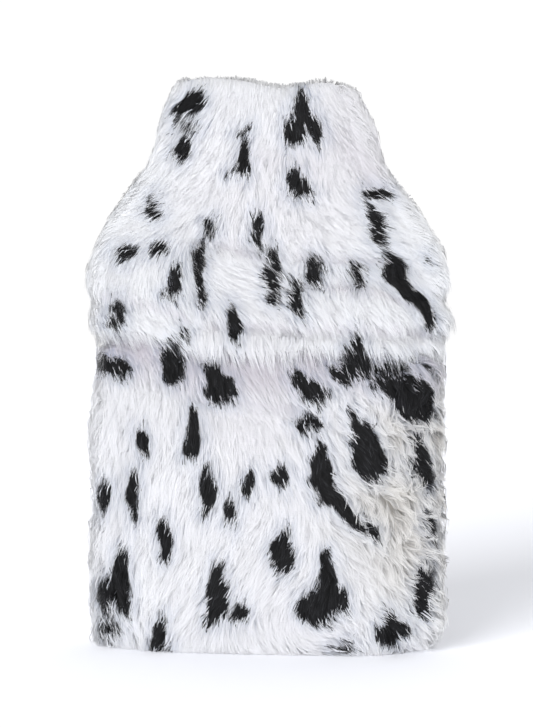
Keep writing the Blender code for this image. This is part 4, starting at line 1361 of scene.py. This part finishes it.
# White light from all round, brighter from behind than from in front.
LIGHT_IN_FRONT = 0.455
LIGHT_BEHIND = 1.30
SEEN_WHITE = 1.02
TOWARDS_BEHIND = (0.8, 0.45)
world = bpy.data.worlds.new("white_studio")
world.use_nodes = True
backdrop = world.node_tree.nodes["Background"]
backdrop.inputs["Color"].default_value = (1.0, 1.0, 1.0, 1.0)
b = Bench(world.node_tree)
way_y = b.node("ShaderNodeSeparateXYZ", {0: b.node("ShaderNodeTexCoord")}, 1)
behind = b.number("MULTIPLY_ADD", way_y, *TOWARDS_BEHIND, clamp=True)
strength = b.number("MULTIPLY_ADD", behind, LIGHT_BEHIND - LIGHT_IN_FRONT, LIGHT_IN_FRONT)
directly = b.node("ShaderNodeLightPath")
shown = b.number("MULTIPLY", b.number("SUBTRACT", SEEN_WHITE, strength), directly)
world.node_tree.links.new(b.number("ADD", strength, shown), backdrop.inputs["Strength"])
bpy.context.scene.world = world


def aim(item, place, target):
    """Puts a lamp or the camera at a place, turned to look at a target."""
    item.location = place
    item.rotation_euler = (Vector(target) - Vector(place)).to_track_quat("-Z", "Y").to_euler()
    bpy.context.scene.collection.objects.link(item)


MIDDLE = (0.0, 0.0, SEEN_MIDDLE)


def around(distance, turn, lift):
    """A place at a distance from the cover's middle, turned to the right and lifted."""
    return (
        distance * math.cos(lift) * math.sin(turn),
        -distance * math.cos(lift) * math.cos(turn),
        distance * math.sin(lift) + SEEN_MIDDLE,
    )


def sun(name, angle, energy, turn, lift):
    """A sun lamp that shines on the cover's middle; its angle, turn and lift are in degrees."""
    data = bpy.data.lights.new(name, "SUN")
    data.angle = math.radians(angle)
    data.energy = energy
    lamp = bpy.data.objects.new(name, data)
    aim(lamp, around(1.0, math.radians(turn), math.radians(lift)), MIDDLE)
    return lamp


sun("key_light", angle=34.0, energy=1.17, turn=0.0, lift=18.0)

# A light for the floor alone, which gives the cover its soft shadow to the right.
only_floor = bpy.data.collections.new("lit_by_floor_light")
only_floor.objects.link(floor)
floor_light = sun("floor_light", angle=30.0, energy=6.4, turn=-21.0, lift=15.0)
floor_light.light_linking.receiver_collection = only_floor

LENS = 127.3
camera_data = bpy.data.cameras.new("camera")
camera_data.lens = LENS
camera = bpy.data.objects.new("camera", camera_data)
aim(camera, around(SEEN_FROM, SEEN_TURN, SEEN_LIFT), MIDDLE)
bpy.context.scene.camera = camera
bpy.context.scene.view_settings.view_transform = "Standard"
# White fibres pass light on many times before it is lost.
bpy.context.scene.cycles.diffuse_bounces = 16
bpy.context.scene.cycles.max_bounces = 18
